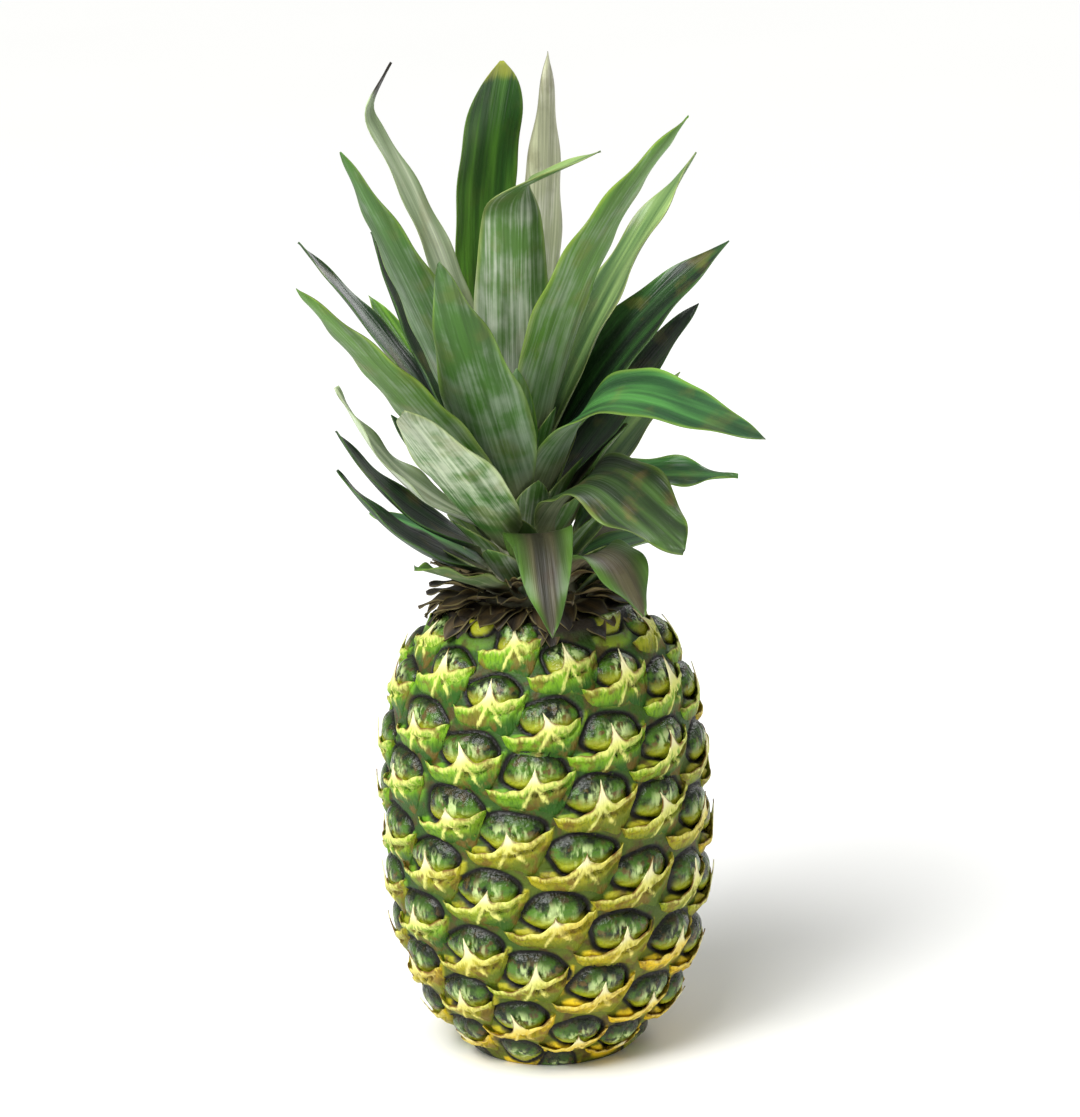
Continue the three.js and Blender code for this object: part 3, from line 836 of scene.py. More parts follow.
class Blade:
    """The surface of one leaf as a function of the share t along it and the share u across it."""

    NECK_SHARE = 0.36
    WIDEST_AT = 0.4
    END = 0.981
    TIP_LOSS = 0.75
    TIP_POWER = 40
    LINE_POINTS = 481
    CUP_LOSS = 0.35
    RIM_THICKNESS = 0.35
    SIDE_PHASE = 1.9
    WAVE_FROM = 0.15
    WAVE_EASE = 0.3

    def __init__(self, shape: LeafShape, stem: StemSizes, root_radius: float | None = None) -> None:
        """Keep the leaf's shape and where its root stands off the stem.

        Args:
            shape: The leaf.
            stem: What it grows from.
            root_radius: The root's distance from the axis, where it isn't just off the stem.
        """
        self.shape = shape
        self.stem = stem
        outer = stem.radius(shape.root) + stem.clearance + shape.root_thickness / 2.0
        self.root_radius = outer if root_radius is None else root_radius

    def middle_line(self, t: Array) -> tuple[Array, Array, Array]:
        """The leaf's middle line.

        The rise eases from its first to its last value about the bend, and a kink is added near the tip.
        The line is the sum of short steps along the rise. The leaf rolls about it from the root to its
        widest place.

        Args:
            t: Shares along the leaf.

        Returns:
            Points, and the directions across the leaf and towards its upper face.
        """
        s = self.shape
        fine = np.linspace(0.0, 1.0, self.LINE_POINTS)
        turned = smooth_step((fine - s.bend) / s.span + 0.5)
        kinked = smooth_step((fine - s.kink_at) / s.kink_span + 0.5)
        rise = np.radians(s.rise[0] + (s.rise[1] - s.rise[0]) * turned + s.kink * kinked)
        azimuth = np.radians(s.azimuth + s.swing * kinked)
        out = np.array([np.cos(azimuth[0]), np.sin(azimuth[0]), 0.0])
        level_share, upward = np.cos(rise), np.sin(rise)
        along = np.stack([level_share * np.cos(azimuth), level_share * np.sin(azimuth), upward], axis=-1)
        steps = (along[1:] + along[:-1]) * 0.5 * s.length / (len(fine) - 1)
        root = out * self.root_radius + np.array([self.stem.centre(s.root), 0.0, s.root])
        line = root + np.concatenate([np.zeros((1, 3)), np.cumsum(steps, axis=0)])
        level = np.stack([-np.sin(azimuth), np.cos(azimuth), 0.0 * azimuth], axis=-1)
        points, heading, level = [
            np.stack([np.interp(t, fine, column) for column in rows.T], axis=-1)
            for rows in (line, along, level)
        ]
        heading /= np.linalg.norm(heading, axis=1)[:, None]
        level /= np.linalg.norm(level, axis=1)[:, None]
        angle = np.radians(s.roll * smooth_step(t / self.WIDEST_AT))[:, None]
        side = level * np.cos(angle) + np.cross(heading, level) * np.sin(angle)
        return points, side, np.cross(heading, side)

    def taper(self, t: Array) -> Array:
        """Share of width and thickness left towards the very tip: 1 - loss (t / END)^power."""
        return 1.0 - self.TIP_LOSS * (t / self.END) ** self.TIP_POWER

    def width(self, t: Array) -> Array:
        """Width: it opens as a sine from the neck, closes as 1 - t^blunt and tapers at the tip.

        Args:
            t: Shares along the leaf.

        Returns:
            Millimetres across.
        """
        opening = np.sin(np.minimum(t / self.WIDEST_AT, 1.0) * np.pi / 2.0)
        opened = self.NECK_SHARE + (1.0 - self.NECK_SHARE) * opening
        return self.shape.width * opened * (1.0 - t**self.shape.blunt) * self.taper(t)

    def faces(self, t: Array, u: Array, phase: float) -> tuple[Array, Array]:
        """The leaf's two faces.

        Each row is an arc of a circle, so the leaf is a channel; the thickness falls with the cube of u
        from the middle to the edges, and the edges rise and fall in a slow wave.

        Args:
            t: Shares along the leaf.
            u: Shares across it, from -1 to 1.
            phase: Start of the wave in radians.

        Returns:
            Upper and lower grids of points, rows along and columns across.
        """
        s = self.shape
        points, side, upper = self.middle_line(t)
        down, cubed, hand = t[:, None], np.abs(u[None, :]) ** 3, np.sign(u[None, :])
        cup = np.radians(s.cup) * (1.0 - self.CUP_LOSS * t)[:, None]
        radius = (self.width(t) / 2.0)[:, None] / cup
        angle = u[None, :] * cup
        middle = s.edge_thickness + (s.root_thickness - s.edge_thickness) * (1.0 - t)[:, None]
        thickness = (middle + (self.RIM_THICKNESS - middle) * cubed) * self.taper(t)[:, None]
        wave_at = 2.0 * np.pi * down * s.length / s.wave_length + phase + self.SIDE_PHASE * hand
        wave = s.wave * np.sin(wave_at) * cubed * smooth_step((down - self.WAVE_FROM) / self.WAVE_EASE)

        def face(sign: float) -> Array:
            """One face: arcs about the channel's axis, half a thickness off the middle surface.

            Args:
                sign: 1 for the upper face and -1 for the lower.

            Returns:
                Its grid of points.
            """
            reach = radius - sign * thickness / 2.0
            across = (reach * np.sin(angle))[..., None] * side[:, None]
            inward = (radius - reach * np.cos(angle) + wave)[..., None] * upper[:, None]
            return points[:, None] + across + inward

        return face(1.0), face(-1.0)


def stack_blades(blades: list[Blade], rows: int, cols: int, seed: int) -> tuple[Array, dict[str, Array]]:
    """Points and attributes of blades.

    Args:
        blades: The leaves.
        rows: Points along each.
        cols: Points across each.
        seed: Seed of each leaf's wave and tone.

    Returns:
        Vertex places, and the attributes blade (across, along, upper face), share (along, towards the
        edge, tone) and tip (how dry the tip is).
    """
    rng = np.random.default_rng(seed)
    t = np.linspace(0.0, 1.0, rows) ** 0.9 * Blade.END
    u = np.sin(np.linspace(-1.0, 1.0, cols) * np.pi / 2.0)
    flat = np.zeros((rows, cols))
    uppers, lowers, blade_at, share_at, tip_at = [], [], [], [], []
    for blade in blades:
        upper, lower = blade.faces(t, u, rng.random() * WHOLE_WAVE)
        across = blade.width(t)[:, None] / 2.0 * u + 40.0 * rng.random()
        along = t[:, None] * blade.shape.length + flat
        share = np.stack([t[:, None] + flat, np.abs(u) + flat, rng.random() + flat], axis=-1)
        tip = smooth_step((t[:, None] - 1.0 + blade.shape.tip_share) / 0.08) + flat
        blade_at.append([np.stack([across, along, flat + face], axis=-1) for face in (1.0, 0.0)])
        share_at.append([share, share])
        tip_at.append([tip, tip])
        uppers.append(upper)
        lowers.append(lower)
    points = stack_sheets(np.stack(uppers), np.stack(lowers))
    return points, {"blade": np.array(blade_at).reshape(-1, 3), "share": np.array(share_at).reshape(-1, 3),
                    "tip": np.array(tip_at).ravel()}


LEAVES = (
    LeafShape("leaf_short_left", -130, 174, 50, 26, (24, 22), LeafTone.OLIVE, blunt=3, wave=1.2,
              wave_length=18),
    LeafShape("leaf_droop_right", -51, 175, 59, 30, (43, -51), LeafTone.DRY, span=0.6, cup=25,
              blunt=3.2, wave=1.4, wave_length=20),
    LeafShape("leaf_low_left", -157, 179, 74, 26, (23, 56), LeafTone.DARK, roll=-15),
    LeafShape("leaf_droop_front", -84, 181, 78, 26, (49, -48), LeafTone.DRY, bend=0.42, span=0.5,
              cup=18, blunt=2.8, wave=1.6, wave_length=24),
    LeafShape("leaf_dark_left", -165, 186, 75, 28, (28, 59), LeafTone.DARK, roll=-15),
    LeafShape("leaf_side_right", -5, 186, 74, 26, (58, -4), bend=0.42, span=0.7, roll=25, cup=28,
              wave=1.6, wave_length=22),
    LeafShape("leaf_flap_right", -47, 191, 85, 36, (63, -27), LeafTone.OLIVE, bend=0.38, span=0.5,
              roll=15, cup=20, blunt=5, wave=2.0, wave_length=26, tip_share=0.05),
    LeafShape("leaf_wavy_left", -114, 190, 108, 30, (41, 38), LeafTone.FADED, blunt=5, wave=1.1,
              wave_length=46, tip_share=0.06),
    LeafShape("leaf_stub_right", 12, 197, 42, 20, (58, 42), LeafTone.DRY, cup=40, blunt=4),
    LeafShape("leaf_pale_left", -157, 195, 84, 26, (29, 65), LeafTone.BLEACHED, roll=-20, wave=1.0,
              wave_length=26),
    LeafShape("leaf_dim_left", 162, 197, 52, 26, (34, 58), LeafTone.DARK, cup=38),
    LeafShape("leaf_green_left", -131, 201, 141, 34, (48, 43), LeafTone.LIME),
    LeafShape("leaf_thin_left", 162, 203, 117, 26, (59, 48), LeafTone.DARK, cup=42, blunt=2),
    LeafShape("leaf_arch_right", -50, 207, 140, 30, (60.5, -6), bend=0.37, span=0.65, roll=30, cup=26,
              blunt=2.6),
    LeafShape("leaf_big_front_left", -105, 205, 133, 36, (52, 52), bend=0.3, span=0.7, cup=34,
              wave=1.0, wave_length=34),
    LeafShape("leaf_short_dark_right", 26, 204, 90, 28, (49, 41), LeafTone.DARK, roll=15),
    LeafShape("leaf_inner_front", -86, 216, 44, 16, (70, 74), cup=38, blunt=3),
    LeafShape("leaf_broad_right", 15, 214, 108, 36, (59, 35), LeafTone.DARK, roll=20),
    LeafShape("leaf_edge_left", 161, 212, 99, 24, (57, 73), LeafTone.DARK, cup=40, blunt=2),
    LeafShape("leaf_tall_left", -133, 214, 148, 34, (64, 58)),
    LeafShape("leaf_pale_right", 30, 219, 126, 30, (63, 47), LeafTone.PALE, cup=35, blunt=2.1,
              wave=1.2, wave_length=36),
    LeafShape("leaf_tall_right", -40, 222, 151, 36, (74, 45), LeafTone.LIME, cup=34),
    LeafShape("leaf_kinked_left", -162, 222, 154, 24, (80, 61), LeafTone.BLEACHED, roll=-45, blunt=1.9,
              kink=62, tip_share=0.15),
    LeafShape("leaf_front_centre", -80, 227, 128, 30, (86, 77), LeafTone.PALE, blunt=2.8, kink=-55,
              swing=78, kink_at=0.72, kink_span=0.16),
    LeafShape("leaf_dark_back", 88, 223, 64, 18, (62, 82), LeafTone.DARK, cup=36),
    LeafShape("leaf_crest_back", 118, 230, 139, 24, (74, 116), LeafTone.GLOSSY, blunt=14, tip_share=0.11),
    LeafShape("leaf_crest_right", 26, 235, 131, 32, (80, 88), LeafTone.LIT_CREAM, roll=-70, blunt=2),
    LeafShape("leaf_back_low_1", 100, 174, 46, 26, (24, 4), LeafTone.DRY, blunt=3),
    LeafShape("leaf_back_low_2", 48, 175, 42, 24, (24, 0), LeafTone.DRY, blunt=3),
    LeafShape("leaf_back_low_3", 150, 176, 54, 26, (26, 10), blunt=3),
    LeafShape("leaf_back_low_4", 12, 177, 44, 24, (26, -6), blunt=3),
    LeafShape("leaf_back_droop", 74, 180, 88, 30, (40, -44), LeafTone.DARK, span=0.6, cup=26,
              blunt=2.6, wave=1.6, wave_length=26),
    LeafShape("leaf_back_1", 120, 184, 88, 30, (34, 24), wave=1.4, wave_length=28),
    LeafShape("leaf_back_2", 46, 189, 86, 30, (38, 28), LeafTone.PALE),
    LeafShape("leaf_back_3", 98, 191, 104, 32, (42, 24), LeafTone.DARK),
    LeafShape("leaf_back_4", 134, 200, 96, 30, (50, 44), LeafTone.LIME),
    LeafShape("leaf_back_5", 70, 197, 104, 32, (48, 36)),
    LeafShape("leaf_back_6", 100, 208, 112, 32, (58, 46)),
    LeafShape("leaf_back_7", 95, 216, 96, 30, (66, 57), LeafTone.LIME),
)


@dataclass(frozen=True)
class LeafFinish:
    """Fresh or drying leaf tissue: satin above, with a scurfy, greyer underside."""

    upper: str
    upper_dark: str
    under: str
    under_pale: str
    margin: str
    tip: str
    root: str = "#e4e2b8"
    patch: str = "#8b7f3c"
    patch_amount: float = 0.35
    upper_roughness: float = 0.36
    under_roughness: float = 0.58
    margin_start: float = 0.84
    margin_share: float = 0.5
    scurf_at_root: float = 0.3
    scurf_at_tip: float = -0.06
    STRAND_PER_MM = (1.0 / 1.1, 1.0 / 34.0, 3.0)
    STRIPE_PER_MM = (0.16, 0.012, 2.0)
    PATCH_MM = 13.0
    BLOTCH_MM = 9.0
    STRAND_BAND = (0.36, 0.66)
    STRIPE_BAND = (0.38, 0.64)
    SCURF_BAND = (0.48, 1.0)
    SCURF_REACH = (0.0, 0.75)
    PATCH_BAND = (0.52, 0.7)
    ROOT_BAND = (0.16, 0.0)
    TIP_BAND = (0.7, 1.3)
    TONE_VALUES = (0.9, 1.25)
    STRIPE_VALUES = (0.66, 1.08)
    FLECK_VALUES = (0.82, 1.1)
    STRAND_SHARE = 0.2
    ROOT_SHARE = 0.7
    RAGGED_SHARE = 0.8
    RELIEF_MM = 0.35

    def material(self, name: str) -> bpy.types.Material:
        """Build the material.

        It reads the blade's attributes blade (across, along, upper face), share (along, towards the edge,
        tone) and tip. Fine strands and broader stripes run along the leaf in its own coordinates. The
        underside has blotches of pale scurf, more at the root or at the tip. The root is pale, the margins
        are lighter, the tip is dry, and older tissue has brownish patches.

        Args:
            name: The finish's name.

        Returns:
            The material.
        """
        paint = Paint(name)
        blade, (along, edge, tone) = paint.attribute("blade"), paint.split(paint.attribute("share"))
        upper_face = paint.split(blade)[2]
        strands = paint.noise(blade, self.STRAND_PER_MM, 1.0, 2.0)
        stripes = paint.noise(blade, self.STRIPE_PER_MM, 1.0, 2.0)
        above = paint.blend(self.upper_dark, self.upper, stripes, self.STRIPE_BAND)
        scurf = paint.rescale(along, (self.scurf_at_root, self.scurf_at_tip), self.SCURF_REACH)
        blotches = paint.lumps(self.BLOTCH_MM, 6.0, 1.6)
        strand = paint.ease(strands, self.STRAND_BAND)
        faint = paint.maths("MULTIPLY_ADD", strand, self.STRAND_SHARE, blotches)
        faint = paint.maths("ADD", faint, scurf)
        below = paint.blend(self.under, self.under_pale, faint, self.SCURF_BAND)
        colour = paint.mix(upper_face, below, above)
        patches = paint.lumps(self.PATCH_MM)
        colour = paint.blend(colour, self.patch, patches, self.PATCH_BAND, self.patch_amount)
        colour = paint.blend(colour, self.margin, edge, (self.margin_start, 1.0), self.margin_share)
        colour = paint.blend(colour, self.root, along, self.ROOT_BAND, self.ROOT_SHARE)
        tip = (paint.attribute("tip")[0], "Fac")
        ragged = paint.maths("MULTIPLY_ADD", strands, self.RAGGED_SHARE, tip)
        colour = paint.blend(colour, self.tip, ragged, self.TIP_BAND)
        value = paint.rescale(tone, self.TONE_VALUES)
        for lines, values, band in (
            (stripes, self.STRIPE_VALUES, (0.34, 0.62)),
            (strands, self.FLECK_VALUES, (0.3, 0.7)),
        ):
            value = paint.maths("MULTIPLY", value, paint.rescale(lines, values, band))
        colour = (paint.add("HueSaturation", {"Color": colour, "Value": value}), "Color")
        roughness = paint.rescale(upper_face, (self.under_roughness, self.upper_roughness))
        return paint.finish(colour, roughness, strands, self.RELIEF_MM)


LEAF_FINISHES = {
    LeafTone.GREEN: LeafFinish("#4a8440", "#2b5430", "#4a7a2c", "#8ca284", "#8fb43a", "#7a6a32",
                               patch_amount=0.2),
    # Dark leaves: dark green tissue, darkened further with painted shade for leaves that sit in shadow.
    LeafTone.DARK: LeafFinish("#2d5424", "#17281a", "#2a4227", "#52685a", "#5a8434", "#3b2e18",
                              upper_roughness=0.34),
    LeafTone.PALE: LeafFinish("#8fae66", "#5c8648", "#5f8a3e", "#cbd4c0", "#bccb74", "#96883c",
                              patch="#8f8c5c"),
    LeafTone.FADED: LeafFinish("#8fae66", "#5c8648", "#467a2c", "#bfccae", "#b9cc7c", "#cfc45a",
                               patch="#8f8c5c", scurf_at_root=-0.12, scurf_at_tip=0.3),
    LeafTone.DRY: LeafFinish("#5c573c", "#3a3829", "#565140", "#8c8260", "#56812a", "#46341a",
                             patch="#43321e", patch_amount=0.7, upper_roughness=0.5,
                             margin_start=0.3, margin_share=0.9),
    LeafTone.LIME: LeafFinish("#6b9a2a", "#2e5f1e", "#568428", "#8ea282", "#a8c742", "#86723a",
                              patch_amount=0.25),
    LeafTone.OLIVE: LeafFinish("#46662a", "#2c421e", "#4c6238", "#868e6e", "#7f9a3c", "#7a5a2c",
                               patch="#75653a", patch_amount=0.75, upper_roughness=0.46),
    LeafTone.GLOSSY: LeafFinish("#6aa23c", "#38682c", "#3c642c", "#64865a", "#7fa63c", "#b4bc4a",
                                patch_amount=0.1, upper_roughness=0.3),
    # Cream leaf: its own pale colour raised further with painted light, where it sits in shade.
    LeafTone.LIT_CREAM: LeafFinish("#e2e2bc", "#aeb588", "#d3d6ae", "#fbf8e8", "#5c5a3c", "#3c3222",
                               patch="#837e58", patch_amount=0.5),
    LeafTone.BLEACHED: LeafFinish("#d9e2c4", "#a3ba8a", "#c0d0ac", "#f8faee", "#8ba45c", "#1f1a10",
                                  patch="#a9a672"),
    LeafTone.HUSK: LeafFinish("#4b3d22", "#1d170e", "#54452a", "#a59468", "#8a7f48", "#241a0f",
                              patch="#14100a", patch_amount=0.8, upper_roughness=0.6),
}


@dataclass(frozen=True)
class NeckRow:
    """One ring of neck bracts, in degrees and millimetres: it starts at rise and ends at fall."""

    count: int
    radius: float
    rise: float
    fall: float
    length: float


NECK_ROWS = (
    NeckRow(26, 25.0, -12.0, -52.0, 17.0),
    NeckRow(21, 20.5, 4.0, -24.0, 19.0),
    NeckRow(17, 17.5, 24.0, -6.0, 22.0),
    NeckRow(15, 14.0, 40.0, 14.0, 24.0),
)


class Crown:
    """The crown: its stem with leaf bases and heart leaves, the neck's dry bracts, and its leaves."""

    LEAF_GRID = (72, 15)
    CORE_GRID = (22, 9)
    NECK_GRID = (20, 9)
    LEAF_SEED = 40
    CORE_SEED = 11
    NECK_SEED = 12
    NECK_PLACES_SEED = 23
    NECK_START = 0.5
    NECK_STEP = 1.4
    NECK_SWERVE = 7.0
    NECK_SIZE = (0.85, 0.3)
    NECK_WIDTH = (11.0, 4.0)
    NECK_SPREAD = (5.0, 8.0)
    GOLDEN_ANGLE = 137.5
    BASES = 54
    BASES_START = 1.0
    BASES_HEIGHT = 60.0
    BASE_LENGTHS = (24.0, 32.0)
    BASE_WIDTHS = (19.0, 13.0)
    BASE_RISES = (42.0, 84.0)
    BASE_CURL = 6.0
    BASE_SUNK = 1.0
    CORE_SIDES = 48
    CORE_TOP = ((1.0, 0.0), (2.5, 0.4))
    CORE_LEVELS = (212.0, 190.0)
    HEART_RADIUS = 1.5
    HEARTS = (
        LeafShape("heart_1", -20, 231, 34, 11, (80, 86), cup=40, blunt=2.2),
        LeafShape("heart_2", 120, 232, 40, 12, (82, 88), cup=40, blunt=2.2),
        LeafShape("heart_3", 250, 233, 30, 10, (84, 92), cup=40, blunt=2.2),
    )

    def __init__(self, stem: StemSizes, leaves: tuple[LeafShape, ...]) -> None:
        """Keep the stem and the leaves' shapes."""
        self.stem, self.leaves = stem, leaves

    def build_leaves(self, finishes: dict[LeafTone, bpy.types.Material]) -> list[bpy.types.Object]:
        """Build each leaf as a piece of its own in place of its solid.

        Args:
            finishes: Material for each tone.

        Returns:
            The leaves.
        """
        pieces = []
        for seed, shape in enumerate(self.leaves, self.LEAF_SEED):
            points, attributes = stack_blades([Blade(shape, self.stem)], *self.LEAF_GRID, seed)
            piece = build_piece(f"blade_{shape.name.removeprefix('leaf_')}", points,
                                sheet_faces(1, *self.LEAF_GRID), finishes[shape.tone], attributes)
            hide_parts(shape.name)
            pieces.append(piece)
        return pieces

    def build_stem(self, material: bpy.types.Material) -> bpy.types.Object:
        """Build the stem as a crowd of short sheathing leaf bases, with the heart leaves at its top.

        The bases follow the golden angle up the stem. Each hugs it, rising steeper the higher it grows.

        Args:
            material: Pale leaf tissue.

        Returns:
            The stem.
        """
        blades = []
        for i, share in enumerate(np.arange(self.BASES) / (self.BASES - 1.0)):
            root = self.stem.foot + self.BASES_START + share * self.BASES_HEIGHT
            length, width, rise = [
                low + (high - low) * share
                for low, high in (self.BASE_LENGTHS, self.BASE_WIDTHS, self.BASE_RISES)
            ]
            base = LeafShape(f"base_{i}", i * self.GOLDEN_ANGLE, root, length, width,
                             (rise, rise - self.BASE_CURL), cup=48.0, blunt=2.6, wave=0.3,
                             root_thickness=1.4, edge_thickness=0.5)
            blades.append(Blade(base, self.stem, self.stem.radius(root) - self.BASE_SUNK))
        blades += [Blade(heart, self.stem, self.HEART_RADIUS) for heart in self.HEARTS]
        points, attributes = stack_blades(blades, *self.CORE_GRID, self.CORE_SEED)
        core, core_faces = self.core()
        faces = sheet_faces(len(blades), *self.CORE_GRID) + [part + len(points) for part in core_faces]
        attributes = {key: np.concatenate([value, np.zeros((len(core), *value.shape[1:]))])
                      for key, value in attributes.items()}
        return build_piece("crown_core", np.concatenate([points, core]), faces, material, attributes)

    def core(self) -> tuple[Array, list[Array]]:
        """The round stem under the leaf bases: rings that widen down to its foot, closed at both ends.

        Returns:
            Vertex places and faces.
        """
        crown = [(radius, self.stem.top - drop) for radius, drop in self.CORE_TOP]
        levels = (self.stem.top - 2.0, *self.CORE_LEVELS, self.stem.foot)
        rings = crown + [(self.stem.radius(level), level) for level in levels]
        angle = np.radians(np.arange(self.CORE_SIDES) * 360.0 / self.CORE_SIDES)[None, :]
        grid = level_rings(rings, angle)
        grid[..., 0] += self.stem.centre(grid[..., 2])
        return close_round(grid)

    def build_neck(self, material: bpy.types.Material) -> bpy.types.Object:
        """Build the small dry bracts round the neck and on the shoulder, each a little different.

        Args:
            material: Dry leaf tissue.

        Returns:
            The bracts as one piece.
        """
        rng = np.random.default_rng(self.NECK_PLACES_SEED)
        blades = []
        for level, row in enumerate(NECK_ROWS):
            root = self.stem.foot + self.NECK_START + self.NECK_STEP * level
            for i in range(row.count):
                azimuth = 360.0 * (i + 0.5 * level) / row.count + self.NECK_SWERVE * rng.standard_normal()
                length = row.length * (self.NECK_SIZE[0] + self.NECK_SIZE[1] * rng.random())
                width = self.NECK_WIDTH[0] + self.NECK_WIDTH[1] * rng.random()
                rise, fall = [start + spread * rng.standard_normal()
                              for start, spread in zip((row.rise, row.fall), self.NECK_SPREAD)]
                shape = LeafShape(f"neck_{level}_{i}", azimuth, root, length, width, (rise, fall), cup=28.0,
                                  blunt=2.2, wave=0.9, wave_length=13.0, root_thickness=0.9,
                                  edge_thickness=0.4)
                blades.append(Blade(shape, self.stem, row.radius))
        points, attributes = stack_blades(blades, *self.NECK_GRID, self.NECK_SEED)
        faces = sheet_faces(len(blades), *self.NECK_GRID)
        return build_piece("neck_scales", points, faces, material, attributes)


@dataclass(frozen=True)
class StalkSizes:
    """The cut end of the fruit's stalk, in millimetres."""

    radius: float = 14.0
    top: float = 7.7
    bevel: float = 1.0
    sides: int = 96


class StalkEnd:
    """The cut stalk under the fruit."""

    def __init__(self, sizes: StalkSizes) -> None:
        """Keep the sizes."""
        self.sizes = sizes

    def build(self, material: bpy.types.Material) -> bpy.types.Object:
        """Build it as rings of radius r(a) = R (1 less small ripples of a), flat at the cut.

        Args:
            material: Cut stalk.

        Returns:
            The stalk's end.
        """
        s = self.sizes
        angle = np.radians(np.arange(s.sides) * 360.0 / s.sides)[None, :]
        ripple = 1.0 - 0.012 * (1.0 + np.sin(9.0 * angle)) - 0.006 * (1.0 + np.sin(23.0 * angle))
        wall = s.radius - 0.1
        pairs = [(s.radius * 0.4, s.top), (s.radius - s.bevel, s.top), (wall, s.top - s.bevel), (wall, 0.5),
                 (s.radius - 0.4, 0.0), (10.0, 0.0), (5.0, 0.0)]
        grid = level_rings(pairs, angle)
        grid[..., :2] *= ripple[..., None]
        return build_piece("stalk_cut", *close_round(grid), material)


# Finishes of the fruit


def ripeness(paint: Paint) -> Link:
    """How yellow the fruit has turned: more towards its base and one side, in patches 45 mm across.

    Args:
        paint: The material that asks.

    Returns:
        From about 0 where it is green to 1 where it is ripe.
    """
    x, _, z = paint.split(paint.place())
    lean = paint.maths("ADD", paint.rescale(z, (0.0, 1.0), (0.14, -0.015)),
                       paint.rescale(x, (-0.26, 0.26), (-0.06, 0.06)))
    return paint.maths("ADD", lean, paint.rescale(paint.lumps(45.0, 2.0), (-0.22, 0.26), (0.3, 0.7)))


@dataclass(frozen=True)
class RindFinish:
    """Waxy rind: dark green and grey-brown sepals in sockets rimmed with painted shade, set in green to
    yellow flesh.
    """

    # Dark sepal colour, also used as painted shade towards each dome's top.
    sepal_dark_and_shade: str = "#162010"
    sepal_green: str = "#4b741c"
    sepal_grey: str = "#5c4a22"
    # Pale streaks on the domes: partly waxy bloom, partly painted reflection.
    sepal_bloom_and_sheen: str = "#c6dc92"
    sepal_foot: str = "#b8bc28"
    # Furrow colours: the flesh's own green, darkened with painted shade.
    shaded_groove_green: str = "#284c08"
    shaded_groove_ripe: str = "#5f6a0a"
    flesh_green: str = "#699c1c"
    flesh_olive: str = "#a8a41a"
    flesh_ripe: str = "#f2d01a"
    stain: str = "#4f3616"
    shoulder: str = "#241c0e"
    # Near-black painted shade in the groove round each dome.
    rim: str = "#0d0a05"
    PATCH_MM = 6.0
    GREY_MM = 3.4
    BLOOM_AND_SHEEN_MM = 2.0
    GRAIN_MM = 1.3
    RELIEF_MM = 0.5
    SHOULDER_AT = (0.157, 0.165)
    BED_BAND = (0.22, 0.45)
    SHADE_RIM_OUTSIDE = (1.2, 1.05)
    SHADE_RIM_INSIDE = (0.82, 0.99)
    ROUGHNESS = (0.55, 0.25)

    def material(self) -> bpy.types.Material:
        """Build the material.

        It reads the skin's attributes eye (inside a dome, distance, tone) and relief (height, bract bed,
        upward on the dome). The flesh turns from green near the crown to yellow at the base, is dark in
        the grooves, partly its own green and partly painted shade, and has brown stains. The domes have
        green and grey patches, painted shade towards their tops, a near-black ring of painted shade round
        them, and pale streaks that are partly a waxy coating and partly painted reflection.

        Returns:
            The material.
        """
        paint = Paint("waxy_rind")
        inside, distance, _ = paint.split(paint.attribute("eye"))
        _, bed, upward = paint.split(paint.attribute("relief"))
        patches, ripe = paint.lumps(self.PATCH_MM), ripeness(paint)
        sepal = paint.blend(self.sepal_dark_and_shade, self.sepal_green, patches, (0.4, 0.58))
        sepal = paint.blend(sepal, self.sepal_grey, paint.lumps(self.GREY_MM), (0.52, 0.66))
        # Painted shade: each dome darkens towards its top, where it meets the groove.
        sepal = paint.blend(sepal, self.sepal_dark_and_shade, upward, (0.1, 0.8), 0.7)
        streaks = paint.ease(paint.lumps(self.BLOOM_AND_SHEEN_MM, stretch_z=3.0), (0.44, 0.62))
        # Pale streaks at the dome's middle: partly waxy bloom, partly painted reflection.
        bloom_and_sheen = paint.maths("MULTIPLY", paint.ease(distance, (0.75, 0.2)), streaks)
        sepal = paint.mix(bloom_and_sheen, sepal, self.sepal_bloom_and_sheen)
        sepal = paint.blend(sepal, self.sepal_foot, upward, (0.1, -0.6), 0.8)
        flesh = paint.blend(self.flesh_green, self.flesh_olive, ripe, (0.1, 0.5))
        flesh = paint.blend(flesh, self.flesh_ripe, ripe, (0.5, 1.0))
        # The furrows, where the bract bed is low, are darker: partly green flesh, partly painted shade.
        groove = paint.blend(self.shaded_groove_green, self.shaded_groove_ripe, ripe, (0.2, 0.9))
        flesh = paint.blend(groove, flesh, bed, self.BED_BAND)
        flesh = paint.blend(flesh, self.stain, patches, (0.48, 0.64), 0.75)
        flesh = paint.blend(flesh, self.shoulder, paint.split(paint.place())[2], self.SHOULDER_AT)
        colour = paint.mix(inside, flesh, sepal)
        # Painted shade: a near-black ring round each dome, in its groove.
        outer, inner = paint.ease(distance, self.SHADE_RIM_OUTSIDE), paint.ease(distance, self.SHADE_RIM_INSIDE)
        colour = paint.mix(paint.maths("MULTIPLY", outer, inner), colour, self.rim)
        roughness = paint.rescale(inside, self.ROUGHNESS)
        return paint.finish(colour, roughness, paint.lumps(self.GRAIN_MM), self.RELIEF_MM, specular=0.35)


